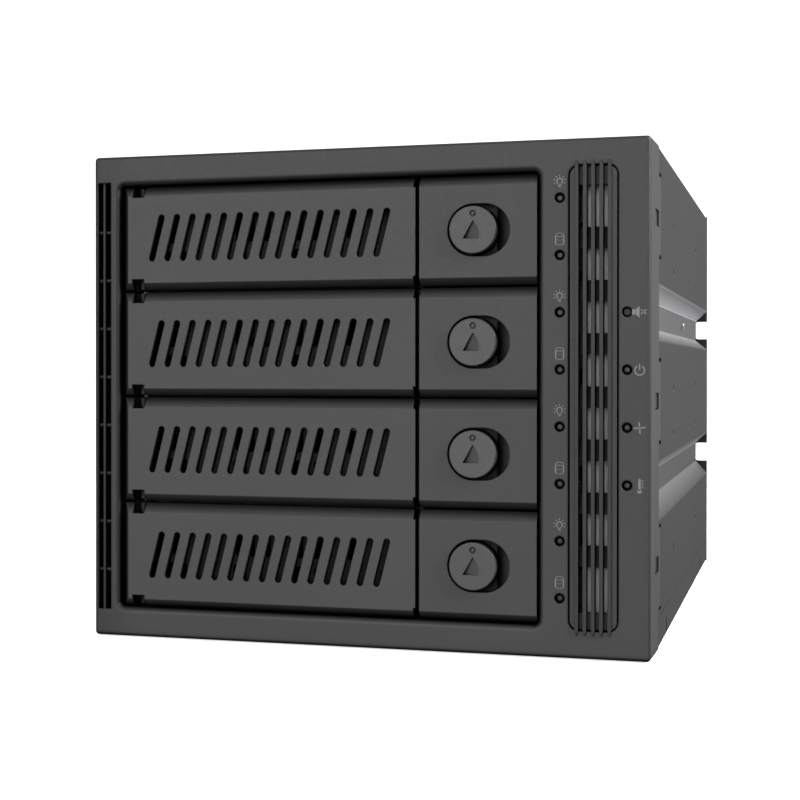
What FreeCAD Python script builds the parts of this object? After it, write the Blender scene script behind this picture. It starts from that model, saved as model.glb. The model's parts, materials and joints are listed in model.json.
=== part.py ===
import FreeCAD, Part
import math
import os
import Sketcher

# Hot swap drive cage: four trays for 3.5 inch drives in the space of three
# 5.25 inch bays.  Every piece is drawn in one working frame, with X to the
# right across the front, Y from the front face into the cage and Z up from
# mid height.  Each piece's Placement then carries it to the object's frame,
# whose origin is under the middle of the cage at its lowest point.

V = FreeCAD.Vector
doc = FreeCAD.newDocument("drive_cage")

# ------------------------------------------------------------ dimensions
sheet = doc.addObject("Spreadsheet::Sheet", "dims")
ROWS = [
    ("front_y", -108.5, "where the front face lies in the object's frame"),
    ("mid_z", 63.8, "mid height above the resting plane"),
    ("face_w", 146.0, "front face width"),
    ("face_h", 127.0, "front face height, three bays"),
    ("plate_t", 3.0, "front plate thickness"),
    ("skirt_d", 18.0, "depth of the front moulding"),
    ("skirt_t", 1.1, "side wall of the front moulding"),
    ("draft", 0.955, "moulding draft in degrees"),
    ("open_l", -65.9, "left side of the tray opening"),
    ("open_r", 45.9, "right side of the tray opening"),
    ("open_z", 55.85, "half height of the tray opening"),
    ("case_w", 73.3, "half width of the steel case"),
    ("case_h", 63.5, "half height of the steel case"),
    ("case_y", 18.2, "front edge of the steel case"),
    ("case_end", 216.2, "rear edge of the cover"),
    ("rear_y", 217.0, "outside of the rear panel"),
    ("sheet_t", 0.8, "sheet steel"),
    ("chan_d", 4.0, "depth of the side channels"),
    ("seam_z", -55.2, "lower edge of the cover's sides"),
    ("pitch", 27.8, "tray pitch"),
    ("tray_hh", 13.65, "tray half height"),
    ("tray_x", -9.95, "middle of the trays across the cage"),
    ("seam_l", 14.75, "right end of the lever"),
    ("seam_r", 15.75, "left side of the fixed tray front"),
    ("tray_l", -65.3, "left end of the tray front"),
    ("tray_r", 45.4, "right end of the tray front"),
    ("bev_top", 2.45, "upper bevel of the tray front, height"),
    ("bev_low", 1.85, "lower bevel of the tray front, height"),
    ("bev_y", 2.0, "bevel of the tray front, depth"),
    ("wall_y", 9.0, "tray wall behind the lever, front side"),
    ("wall_e", 10.4, "tray wall behind the lever, rear side"),
    ("pin_x", -60.45, "lever hinge, across"),
    ("pin_y", 4.4, "lever hinge, behind the face"),
    ("pin_rad", 0.8, "hinge pin radius"),
    ("slot_pitch", 4.37, "pitch of the lever's slots"),
    ("slot_rad", 0.875, "half width of a lever slot"),
    ("slot_z", 5.275, "slot end centres from the middle"),
    ("btn_x", 29.55, "release button, across"),
    ("btn_rad", 5.93, "release button radius"),
    ("btn_out", 1.2, "how far the button stands proud"),
    ("scoop_x", 32.2, "right centre of the scoop"),
    ("scoop_rad", 6.55, "radius of the scoop"),
    ("scoop_d", 2.6, "depth of the scoop"),
    ("led_x", 51.0, "drive lamp column"),
    ("led_z", 49.05, "top drive lamp"),
    ("led_pitch", 13.99, "lamp pitch"),
    ("led_rad", 1.25, "lamp hole radius"),
    ("stat_x", 67.3, "status column"),
    ("stat_z", 21.0, "top status hole"),
    ("vent_l", 53.5, "grille insert, left"),
    ("vent_r", 64.9, "grille insert, right"),
    ("vent_t", 56.6, "grille insert, top"),
    ("vent_b", -56.3, "grille insert, bottom"),
    ("vent_gap", 0.4, "groove round the grille insert"),
    ("board_y", 9.5, "lamp board, front side"),
    ("board_t", 1.6, "board thickness"),
    ("guide_y", 20.0, "front end of the guide walls"),
    ("back_y", 162.3, "backplane, front side"),
    ("drive_hw", 50.8, "half width of a 3.5 inch drive"),
    ("fan_x", -22.0, "fan axis, across"),
    ("fan_y", 191.2, "front side of the fan"),
    ("fan_hw", 40.0, "half width of the fan"),
    ("fan_hole", 35.75, "fan screw holes from its axis"),
    ("fan_rad", 38.6, "fan bore radius"),
    ("side_hole_y", 64.2, "front row of side holes"),
    ("side_hole_dy", 90.2, "spacing of the side holes, front to back"),
    ("side_hole_rad", 1.25, "M3 thread, minor radius"),
]
DIM = {}
for n, (alias, value, note) in enumerate(ROWS, start=2):
    sheet.set("A%d" % n, note)
    sheet.set("B%d" % n, repr(float(value)))
    sheet.setAlias("B%d" % n, alias)
doc.recompute()


class Q(object):
    """A length that knows its value and the sheet formula it comes from."""

    def __init__(self, val, txt=None):
        self.val = float(val)
        self.txt = txt if txt is not None else "(%.6f)" % float(val)

    def _mix(self, other, sign, flip=False):
        a, b = (as_q(other), self) if flip else (self, as_q(other))
        val = {"+": a.val + b.val, "-": a.val - b.val, "*": a.val * b.val,
               "/": a.val / b.val if b.val else 0.0}[sign]
        return Q(val, "(%s %s %s)" % (a.txt, sign, b.txt))

    def __add__(self, o):
        return self._mix(o, "+")

    def __radd__(self, o):
        return self._mix(o, "+", True)

    def __sub__(self, o):
        return self._mix(o, "-")

    def __rsub__(self, o):
        return self._mix(o, "-", True)

    def __mul__(self, o):
        return self._mix(o, "*")

    def __rmul__(self, o):
        return self._mix(o, "*", True)

    def __truediv__(self, o):
        return self._mix(o, "/")

    def __neg__(self):
        return Q(-self.val, "(0 - %s)" % self.txt)


def as_q(x):
    return x if isinstance(x, Q) else Q(x)


for alias, value, note in ROWS:
    DIM[alias] = Q(value, "dims." + alias)


class Dims(object):
    def __getattr__(self, name):
        return DIM[name]


d = Dims()


def bind(obj, path, q):
    """Set a property from a length and tie it to the sheet."""
    if "dims." in q.txt:
        obj.setExpression(path, q.txt)


# ------------------------------------------------------------ primitives
def box(name, x0, x1, y0, y1, z0, z1):
    o = doc.addObject("Part::Box", name)
    x0, x1, y0, y1, z0, z1 = [as_q(v) for v in (x0, x1, y0, y1, z0, z1)]
    o.Length, o.Width, o.Height = (x1 - x0).val, (y1 - y0).val, (z1 - z0).val
    o.Placement.Base = V(x0.val, y0.val, z0.val)
    bind(o, "Length", x1 - x0)
    bind(o, "Width", y1 - y0)
    bind(o, "Height", z1 - z0)
    bind(o, "Placement.Base.x", x0)
    bind(o, "Placement.Base.y", y0)
    bind(o, "Placement.Base.z", z0)
    return o


TURN = {"Z": FreeCAD.Rotation(),
        "Y": FreeCAD.Rotation(V(1, 0, 0), -90),
        "X": FreeCAD.Rotation(V(0, 1, 0), 90)}


def cyl(name, axis, x, y, z, rad, length):
    """Cylinder from (x, y, z) along + axis."""
    o = doc.addObject("Part::Cylinder", name)
    x, y, z, rad, length = [as_q(v) for v in (x, y, z, rad, length)]
    o.Radius, o.Height = rad.val, length.val
    o.Placement = FreeCAD.Placement(V(x.val, y.val, z.val), TURN[axis])
    bind(o, "Radius", rad)
    bind(o, "Height", length)
    bind(o, "Placement.Base.x", x)
    bind(o, "Placement.Base.y", y)
    bind(o, "Placement.Base.z", z)
    return o


def fuse(name, parts):
    o = doc.addObject("Part::MultiFuse", name)
    o.Shapes = parts
    return o


def cut(name, base, tools):
    tool = tools[0] if len(tools) == 1 else fuse(name + "_tool", tools)
    o = doc.addObject("Part::Cut", name)
    o.Base, o.Tool = base, tool
    return o


# ------------------------------------------------------ sketched features
def plane_of(body, role):
    return [f for f in body.Origin.OriginFeatures if f.Role == role][0]


NORMAL = {"XY": 1.0, "XZ": -1.0, "YZ": 1.0}


def pin_point(sk, geo, pos, x, y):
    for kind, q, line in (("DistanceX", x, -2), ("DistanceY", y, -1)):
        if abs(q.val) < 1e-9:
            sk.addConstraint(Sketcher.Constraint("PointOnObject", geo, pos, line))
        else:
            c = sk.addConstraint(Sketcher.Constraint(kind, -1, 1, geo, pos, q.val))
            if "dims." in q.txt:
                sk.setExpression("Constraints[%d]" % c, q.txt)


def draw(sk, shape):
    kind = shape[0]
    a = [as_q(v) if not isinstance(v, (list, tuple)) else v for v in shape[1:]]
    if kind == "rect":
        x0, x1, y0, y1 = a
        pts = [(x0, y0), (x1, y0), (x1, y1), (x0, y1)]
        draw(sk, ("poly", pts))
    elif kind == "poly":
        pts = [(as_q(p[0]), as_q(p[1])) for p in shape[1]]
        ids = []
        for i, p in enumerate(pts):
            r = pts[(i + 1) % len(pts)]
            ids.append(sk.addGeometry(Part.LineSegment(
                V(p[0].val, p[1].val, 0), V(r[0].val, r[1].val, 0)), False))
        for i, g in enumerate(ids):
            sk.addConstraint(Sketcher.Constraint("Coincident", g, 2, ids[(i + 1) % len(ids)], 1))
        for i, g in enumerate(ids):
            pin_point(sk, g, 1, pts[i][0], pts[i][1])
    elif kind == "circle":
        x, y, rad = a
        g = sk.addGeometry(Part.Circle(V(x.val, y.val, 0), V(0, 0, 1), rad.val), False)
        pin_point(sk, g, 3, x, y)
        c = sk.addConstraint(Sketcher.Constraint("Radius", g, rad.val))
        if "dims." in rad.txt:
            sk.setExpression("Constraints[%d]" % c, rad.txt)
    elif kind == "slot":
        x0, y0, x1, y1, rad = a
        u = V(x1.val - x0.val, y1.val - y0.val, 0)
        ang = math.atan2(u.y, u.x)
        nrm = V(-math.sin(ang), math.cos(ang), 0) * rad.val
        p0, p1 = V(x0.val, y0.val, 0), V(x1.val, y1.val, 0)
        h = math.pi / 2
        arc0 = sk.addGeometry(Part.ArcOfCircle(Part.Circle(p0, V(0, 0, 1), rad.val), ang + h, ang + 3 * h), False)
        arc1 = sk.addGeometry(Part.ArcOfCircle(Part.Circle(p1, V(0, 0, 1), rad.val), ang - h, ang + h), False)
        l0 = sk.addGeometry(Part.LineSegment(p0 - nrm, p1 - nrm), False)
        l1 = sk.addGeometry(Part.LineSegment(p1 + nrm, p0 + nrm), False)
        for ga, pa, gb, pb in ((arc0, 2, l0, 1), (l0, 2, arc1, 1), (arc1, 2, l1, 1), (l1, 2, arc0, 1)):
            sk.addConstraint(Sketcher.Constraint("Tangent", ga, pa, gb, pb))
        pin_point(sk, arc0, 3, x0, y0)
        pin_point(sk, arc1, 3, x1, y1)
        c = sk.addConstraint(Sketcher.Constraint("Radius", arc0, rad.val))
        if "dims." in rad.txt:
            sk.setExpression("Constraints[%d]" % c, rad.txt)
    elif kind == "rrect":
        x0, x1, y0, y1, rad = a
        cxs, cys, rv = (x0.val, x1.val), (y0.val, y1.val), rad.val
        corners = [(cxs[0] + rv, cys[0] + rv, math.pi, 1.5 * math.pi),
                   (cxs[1] - rv, cys[0] + rv, 1.5 * math.pi, 2 * math.pi),
                   (cxs[1] - rv, cys[1] - rv, 0.0, 0.5 * math.pi),
                   (cxs[0] + rv, cys[1] - rv, 0.5 * math.pi, math.pi)]
        arcs = [sk.addGeometry(Part.ArcOfCircle(Part.Circle(V(c[0], c[1], 0), V(0, 0, 1), rv), c[2], c[3]), False)
                for c in corners]
        lines = []
        for i in range(4):
            pa = sk.Geometry[arcs[i]].EndPoint
            pb = sk.Geometry[arcs[(i + 1) % 4]].StartPoint
            lines.append(sk.addGeometry(Part.LineSegment(pa, pb), False))
        for i in range(4):
            sk.addConstraint(Sketcher.Constraint("Tangent", arcs[i], 2, lines[i], 1))
            sk.addConstraint(Sketcher.Constraint("Tangent", lines[i], 2, arcs[(i + 1) % 4], 1))
        centres = [(x0 + rad, y0 + rad), (x1 - rad, y0 + rad), (x1 - rad, y1 - rad), (x0 + rad, y1 - rad)]
        pin_point(sk, arcs[0], 3, *centres[0])
        pin_point(sk, arcs[2], 3, *centres[2])
        for i in (0, 2):
            c = sk.addConstraint(Sketcher.Constraint("Radius", arcs[i], rv))
            if "dims." in rad.txt:
                sk.setExpression("Constraints[%d]" % c, rad.txt)
        sk.addConstraint(Sketcher.Constraint("Equal", arcs[0], arcs[1]))


def new_body(name):
    return doc.addObject("PartDesign::Body", name)


def feature(body, name, kind, plane, a, b, shapes, taper=None):
    """Pad or pocket a sketch drawn on one of the body's own planes, from a to
    b along the plane's axis."""
    a, b = as_q(a), as_q(b)
    sk = body.newObject("Sketcher::SketchObject", name + "_sketch")
    sk.AttachmentSupport = [(plane_of(body, plane + "_Plane"), "")]
    sk.MapMode = "FlatFace"
    off = a if NORMAL[plane] > 0 else -a
    sk.AttachmentOffset = FreeCAD.Placement(V(0, 0, off.val), FreeCAD.Rotation())
    bind(sk, "AttachmentOffset.Base.z", off)
    for s in shapes:
        draw(sk, s)
    f = body.newObject("PartDesign::Pad" if kind == "pad" else "PartDesign::Pocket", name)
    f.Profile = sk
    f.Length = (b - a).val
    bind(f, "Length", b - a)
    along = NORMAL[plane] > 0
    f.Reversed = (not along) if kind == "pad" else along
    if taper is not None:
        f.TaperAngle = taper.val
        bind(f, "TaperAngle", taper)
    body.Tip = f
    return f


def repeat(body, name, originals, axis, step, count):
    """Repeat features along an axis of the body."""
    step = as_q(step)
    f = body.newObject("PartDesign::LinearPattern", name)
    f.Originals = originals
    f.Direction = (plane_of(body, axis + "_Axis"), [""])
    f.Occurrences = count
    f.Reversed = step.val < 0
    span = (step if step.val > 0 else -step) * (count - 1)
    f.Length = span.val
    bind(f, "Length", span)
    body.Tip = f
    return f


def ring(body, name, originals, count):
    """Repeat features about the body's own Y axis."""
    f = body.newObject("PartDesign::PolarPattern", name)
    f.Originals = originals
    f.Axis = (plane_of(body, "Y_Axis"), [""])
    f.Angle = 360.0
    f.Occurrences = count
    body.Tip = f
    return f


def round_edges(body, name, rad, pick):
    """Fillet the edges of the body's tip that pick() accepts."""
    doc.recompute()
    base = body.Tip
    names = []
    for i, e in enumerate(base.Shape.Edges, start=1):
        bb = e.BoundBox
        if pick(e, bb):
            names.append("Edge%d" % i)
    f = body.newObject("PartDesign::Fillet", name)
    f.Base = (base, names)
    f.Radius = as_q(rad).val
    body.Tip = f
    return f


NODES = []
BAYS = [1.5, 0.5, -0.5, -1.5]


def node(obj, label, bay=None, dx=0.0, dy=0.0):
    """Name a finished piece and carry it to the object's frame."""
    obj.Label = label
    x = as_q(dx)
    y = d.front_y + as_q(dy)
    z = d.mid_z if bay is None else d.mid_z + d.pitch * bay
    obj.Placement = FreeCAD.Placement(V(x.val, y.val, z.val), FreeCAD.Rotation())
    bind(obj, "Placement.Base.x", x)
    bind(obj, "Placement.Base.y", y)
    bind(obj, "Placement.Base.z", z)
    NODES.append(obj)
    return obj


def group(obj_name, label, parts):
    return node(fuse(obj_name, parts) if len(parts) > 1 else parts[0], label)


# ================================================================ the front
TONGUES = [45.9, -0.9, -42.9]
WINDOWS = [44.8, -0.8, -41.6]


def front_bezel():
    b = new_body("front_bezel")
    hw, hh = d.face_w / 2, d.face_h / 2
    feature(b, "bezel_block", "pad", "XZ", 0, d.skirt_d, [("rect", -hw, hw, -hh, hh)], taper=d.draft)
    feature(b, "bezel_hollow", "cut", "XZ", d.plate_t, d.skirt_d,
            [("rect", -hw + d.skirt_t, hw - d.skirt_t, -hh + d.skirt_t, hh - d.skirt_t)])
    round_edges(b, "bezel_front_round", 1.0,
                lambda e, bb: bb.YMax < 0.01 or (bb.YLength > 17 and abs(bb.XMin) > 72.9 and abs(bb.ZMin) > 63))
    feature(b, "bezel_sleeve", "pad", "XZ", d.plate_t - 0.5, 16.0,
            [("rect", d.open_l - 1.3, d.open_r + 1.3, -d.open_z - 1.3, d.open_z + 1.3)])
    feature(b, "tray_opening", "cut", "XZ", 0, 17.0,
            [("rrect", d.open_l, d.open_r, -d.open_z, d.open_z, 1.5)])
    round_edges(b, "opening_round", 1.35,
                lambda e, bb: bb.YMax < 0.01 and bb.XMin > -67.0 and bb.XMax < 47.0 and bb.ZMin > -56.5 and bb.ZMax < 56.5)
    feature(b, "side_slots", "cut", "XZ", 0, d.plate_t, [("rect", -72.0, -68.25, -56.5, 56.6)])
    rib = feature(b, "slot_rib", "pad", "XZ", 0.5, d.plate_t, [("rect", -70.7, -70.0, -56.6, 56.7)])
    bar = feature(b, "slot_bridge", "pad", "XZ", 1.0, d.plate_t, [("rect", -72.1, -68.2, 43.1, 43.9)])
    repeat(b, "slot_bridges", [bar], "Z", -12.79, 8)
    g = d.vent_gap
    feature(b, "grille_opening", "cut", "XZ", 0, d.plate_t,
            [("rrect", d.vent_l - g, d.vent_r + g, d.vent_b - g, d.vent_t + g, 2.65)])
    lamp = feature(b, "lamp_hole", "cut", "XZ", 0, d.plate_t, [("circle", d.led_x, d.led_z, d.led_rad)])
    repeat(b, "lamp_holes", [lamp], "Z", -d.led_pitch, 8)
    stat = feature(b, "status_hole", "cut", "XZ", 0, d.plate_t, [("circle", d.stat_x, d.stat_z, d.led_rad)])
    repeat(b, "status_holes", [stat], "Z", -d.led_pitch, 4)
    feature(b, "board_posts", "pad", "XZ", d.plate_t - 0.2, d.board_y,
            [("circle", 50.35, 54.6, 1.6), ("circle", 50.35, -54.6, 1.6),
             ("circle", 68.8, 45.0, 1.6), ("circle", 68.8, -45.0, 1.6)])
    feature(b, "post_holes", "cut", "XZ", 5.0, d.board_y,
            [("circle", 50.35, 54.6, 0.8), ("circle", 50.35, -54.6, 0.8),
             ("circle", 68.8, 45.0, 0.8), ("circle", 68.8, -45.0, 0.8)])
    for s, tag in ((1, "r"), (-1, "l")):
        lo, hi = sorted([s * 72.2, s * 73.27])
        feature(b, "tongues_" + tag, "pad", "YZ", lo, hi,
                [("rect", 17.0, 24.3, z - 10.0, z + 10.0) for z in TONGUES])
        lo, hi = sorted([s * 71.6, s * 74.0])
        feature(b, "windows_" + tag, "cut", "YZ", lo, hi,
                [("rect", 9.7, 17.7, z - 2.0, z + 2.0) for z in WINDOWS])
    node(b, "front_bezel")


def vent_grille():
    b = new_body("vent_grille")
    feature(b, "grille_plate", "pad", "XZ", 0, d.plate_t,
            [("rrect", d.vent_l, d.vent_r, d.vent_b, d.vent_t, 2.3)])
    feature(b, "grille_field", "cut", "XZ", 0, 0.7, [("rect", 54.7, 63.6, d.vent_b - 0.5, d.vent_t + 0.5)])
    slot = feature(b, "grille_slot", "cut", "XZ", 0.7, 1.8, [("rect", 55.6, 56.7, -52.3, 52.1)])
    repeat(b, "grille_slots", [slot], "X", 2.0, 4)
    feature(b, "grille_back", "cut", "XZ", 1.8, d.plate_t, [("rect", 55.3, 63.0, -52.3, 52.1)])
    bar = feature(b, "grille_bar", "pad", "YZ", 55.2, 63.1,
                  [("poly", [(1.7, 36.8), (3.0, 36.8), (3.0, 42.0), (2.7, 42.0)])])
    repeat(b, "grille_bars", [bar], "Z", -13.0, 7)
    rib = feature(b, "grille_rib", "pad", "XZ", -0.55, 1.8,
                  [("poly", [(54.7, d.vent_b), (55.15, d.vent_b - 1.5), (55.6, d.vent_b),
                             (55.6, d.vent_t), (55.15, d.vent_t + 1.5), (54.7, d.vent_t)])])
    repeat(b, "grille_ribs", [rib], "X", 2.0, 5)
    # the pointed tips reach over the groove, so their backs are cleared to
    # the front face
    feature(b, "tip_relief", "cut", "XZ", 0, 2.0,
            [("rect", 53.0, 65.4, d.vent_t, d.vent_t + 2.0), ("rect", 53.0, 65.4, d.vent_b - 2.0, d.vent_b)])
    node(b, "vent_grille")


def front_electrics():
    plate = box("baffle_plate", 56.9, 64.6, 5.2, 6.2, -54.6, 55.0)
    legs = [box("baffle_leg_t", 58.0, 63.0, d.plate_t, 5.2, 53.2, 55.0),
            box("baffle_leg_b", 58.0, 63.0, d.plate_t, 5.2, -54.6, -52.9)]
    node(fuse("vent_baffle", [plate] + legs), "vent_baffle")

    pipes = []
    for i in range(8):
        z = d.led_z - d.led_pitch * i
        pipes.append(fuse("pipe_%d" % i, [cyl("pipe_tip_%d" % i, "Y", d.led_x, 0.6, z, 0.72, 2.9),
                                          cyl("pipe_base_%d" % i, "Y", d.led_x, 3.3, z, 1.6, 4.8)]))
    group("drive_pipes", "drive_light_pipes", pipes)
    pipes = []
    for i in (1, 2, 3):
        z = d.stat_z - d.led_pitch * i
        pipes.append(fuse("spipe_%d" % i, [cyl("spipe_tip_%d" % i, "Y", d.stat_x, 0.6, z, 0.72, 2.9),
                                           cyl("spipe_base_%d" % i, "Y", d.stat_x, 3.3, z, 1.6, 4.8)]))
    group("status_pipes", "status_light_pipes", pipes)

    b = new_body("led_board")
    y0, y1 = d.board_y, d.board_y + d.board_t
    feature(b, "led_board_plate", "pad", "XZ", y0, y1, [("rect", 48.3, 70.3, -57.5, 57.5)])
    feature(b, "led_board_window", "cut", "XZ", y0, y1, [("rrect", 54.2, 64.2, -44.0, 44.0, 1.5)])
    feature(b, "led_board_holes", "cut", "XZ", y0, y1,
            [("circle", 50.35, 54.6, 1.0), ("circle", 50.35, -54.6, 1.0),
             ("circle", 68.8, 45.0, 1.0), ("circle", 68.8, -45.0, 1.0)])
    led = feature(b, "led_chip", "pad", "XZ", 8.25, y0 + 0.1,
                  [("rect", d.led_x - 1.0, d.led_x + 1.0, d.led_z - 1.0, d.led_z + 1.0)])
    repeat(b, "led_chips", [led], "Z", -d.led_pitch, 8)
    led2 = feature(b, "stat_chip", "pad", "XZ", 8.25, y0 + 0.1,
                   [("rect", d.stat_x - 1.0, d.stat_x + 1.0, d.stat_z - d.led_pitch - 1.0, d.stat_z - d.led_pitch + 1.0)])
    repeat(b, "stat_chips", [led2], "Z", -d.led_pitch, 3)
    feature(b, "ribbon_socket_front", "pad", "XZ", y1 - 0.1, 15.0, [("rect", 55.0, 61.0, 46.0, 56.0)])
    node(b, "led_board")

    screws = []
    for i, (x, z) in enumerate([(50.35, 54.6), (50.35, -54.6), (68.8, 45.0), (68.8, -45.0)]):
        body = fuse("lbs_%d" % i, [cyl("lbs_shank_%d" % i, "Y", x, 5.4, z, 0.75, 5.7),
                                   cyl("lbs_head_%d" % i, "Y", x, d.board_y + d.board_t, z, 1.7, 1.2)])
        screws.append(cut("lbs_cut_%d" % i, body,
                          [box("lbs_s1_%d" % i, x - 0.9, x + 0.9, 11.7, 12.6, z - 0.18, z + 0.18),
                           box("lbs_s2_%d" % i, x - 0.18, x + 0.18, 11.7, 12.6, z - 0.9, z + 0.9)]))
    group("led_board_screws", "led_board_screws", screws)

    sw = fuse("mute_switch_body", [box("mute_sw_case", d.stat_x - 1.9, d.stat_x + 1.9, 8.3, d.board_y,
                                       d.stat_z - 1.9, d.stat_z + 1.9),
                                   cyl("mute_sw_plunger", "Y", d.stat_x, 7.9, d.stat_z, 0.9, 0.5)])
    node(sw, "mute_switch")
    mb = fuse("mute_button", [cyl("mute_cap", "Y", d.stat_x, 0.8, d.stat_z, 0.85, 6.4),
                              cyl("mute_flange", "Y", d.stat_x, 3.35, d.stat_z, 1.8, 0.7)])
    node(mb, "mute_button")


# ================================================================= the case
CH = [(28.6, 24.9, 17.8, 14.6), (-16.2, -19.8, -26.5, -31.0)]


SIDE_ROWS = [46.7, 34.05, 2.0, -10.65, -42.3]


def outer_cover():
    b = new_body("outer_cover")
    W, H, t, c = d.case_w, d.case_h, d.sheet_t, d.chan_d
    k = 0.33
    out, inn = [(W, H)], [(W - t, H - t)]
    for z1, z2, z3, z4 in CH:
        out += [(W, z1), (W - c, z2), (W - c, z3), (W, z4)]
        inn += [(W - t, z1 + k), (W - c - t, z2 + k), (W - c - t, z3 - k), (W - t, z4 - k)]
    out.append((W, d.seam_z))
    inn.append((W - t, d.seam_z))
    right = out
    left = [(-x, z) for x, z in reversed(out)]
    inner_left = [(-x, z) for x, z in inn]
    inner_right = list(reversed(inn))
    pts = right[::-1]
    # outer line up the right side, over the top and down the left, then back
    # along the inside
    pts = right[::-1] + [(-x, z) for x, z in out] + [(-x, z) for x, z in reversed(inn)] + inn
    feature(b, "cover_sheet", "pad", "XZ", d.case_y, d.case_end, [("poly", pts)])
    def at(pts):
        return lambda e, bb: bb.YLength > 190 and any(abs(abs(bb.XMin) - x) < 0.05 and abs(bb.ZMin - z) < 0.05 for x, z in pts)
    wide, tight = [], []
    for z1, z2, z3, z4 in CH:
        w, cc, tt = W.val, c.val, t.val
        wide += [(w, z1), (w, z4), (w - cc - tt, z2 + k), (w - cc - tt, z3 - k)]
        tight += [(w - cc, z2), (w - cc, z3), (w - tt, z1 + k), (w - tt, z4 - k)]
    round_edges(b, "channel_bends", 1.5, at(wide))
    round_edges(b, "channel_corners", 0.7, at(tight))
    round_edges(b, "cover_bends", 1.2,
                lambda e, bb: bb.YLength > 190 and bb.ZMin > 63.4 and abs(bb.XMin) > 72.9)
    feature(b, "tongue_notches", "cut", "YZ", -74.0, 74.0,
            [("rect", d.case_y - 0.1, 24.7, z - 10.9, z + 10.9) for z in TONGUES])
    for s, tag in ((1, "r"), (-1, "l")):
        lo, hi = sorted([s * 70.9, s * 72.6])
        feature(b, "hook_roots_" + tag, "pad", "YZ", lo, hi,
                [("rect", 24.9, 26.6, z - 3.0, z + 3.0) for z in WINDOWS])
        lo, hi = sorted([s * 70.9, s * 71.7])
        feature(b, "hooks_" + tag, "pad", "YZ", lo, hi,
                [("rect", 8.8, 26.6, z - 3.0, z + 3.0) for z in WINDOWS])
        lo, hi = sorted([s * 71.6, s * 72.85])
        feature(b, "hook_noses_" + tag, "pad", "YZ", lo, hi,
                [("rect", 9.95, 17.45, z - 1.75, z + 1.75) for z in WINDOWS])
    holes = [("circle", y, z, d.side_hole_rad)
             for y in (d.side_hole_y, d.side_hole_y + d.side_hole_dy) for z in SIDE_ROWS]
    feature(b, "side_holes", "cut", "YZ", -74.0, 74.0, holes)
    feature(b, "rivet_holes", "cut", "YZ", -74.0, 74.0, [("circle", 147.0, 21.35, 0.9)])
    feature(b, "top_holes", "cut", "XY", 62.0, 64.0,
            [("circle", x, y, 1.5) for x in (-61.5, 52.2) for y in (45.0, 140.0)] +
            [("circle", x, 210.0, 1.5) for x in (-50.0, 50.0)])
    node(b, "outer_cover")


def bottom_pan():
    b = new_body("bottom_pan")
    W, H, t = d.case_w, d.case_h, d.sheet_t
    top = d.seam_z - 0.2
    feature(b, "pan_sheet", "pad", "XZ", d.case_y, d.case_end,
            [("poly", [(-W, top), (-W, -H), (W, -H), (W, top), (W - t, top), (W - t, -H + t), (-W + t, -H + t), (-W + t, top)])])
    round_edges(b, "pan_bends", 1.2, lambda e, bb: bb.YLength > 190 and bb.ZMax < -63.4 and abs(bb.XMin) > 72.9)
    for s, tag in ((1, "r"), (-1, "l")):
        lo, hi = sorted([s * 71.7, s * 72.5])
        feature(b, "pan_lips_" + tag, "pad", "YZ", lo, hi,
                [("rect", 88.0, 108.0, -62.8, -49.0), ("rect", 168.0, 188.0, -62.8, -49.0)])
        lo, hi = sorted([s * 73.2, s * 73.45])
        feature(b, "pan_embossing_" + tag, "pad", "YZ", lo, hi,
                [("rect", 40.5, 43.5, -62.0, -58.3), ("rect", 178.5, 181.5, -62.0, -58.3)])
    feature(b, "pan_holes", "cut", "XY", -64.0, -62.0,
            [("circle", x, y, 1.5) for x in (-61.5, 52.2) for y in (45.0, 140.0)] +
            [("circle", x, 210.0, 1.5) for x in (-50.0, 50.0)])
    node(b, "bottom_pan")


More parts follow.
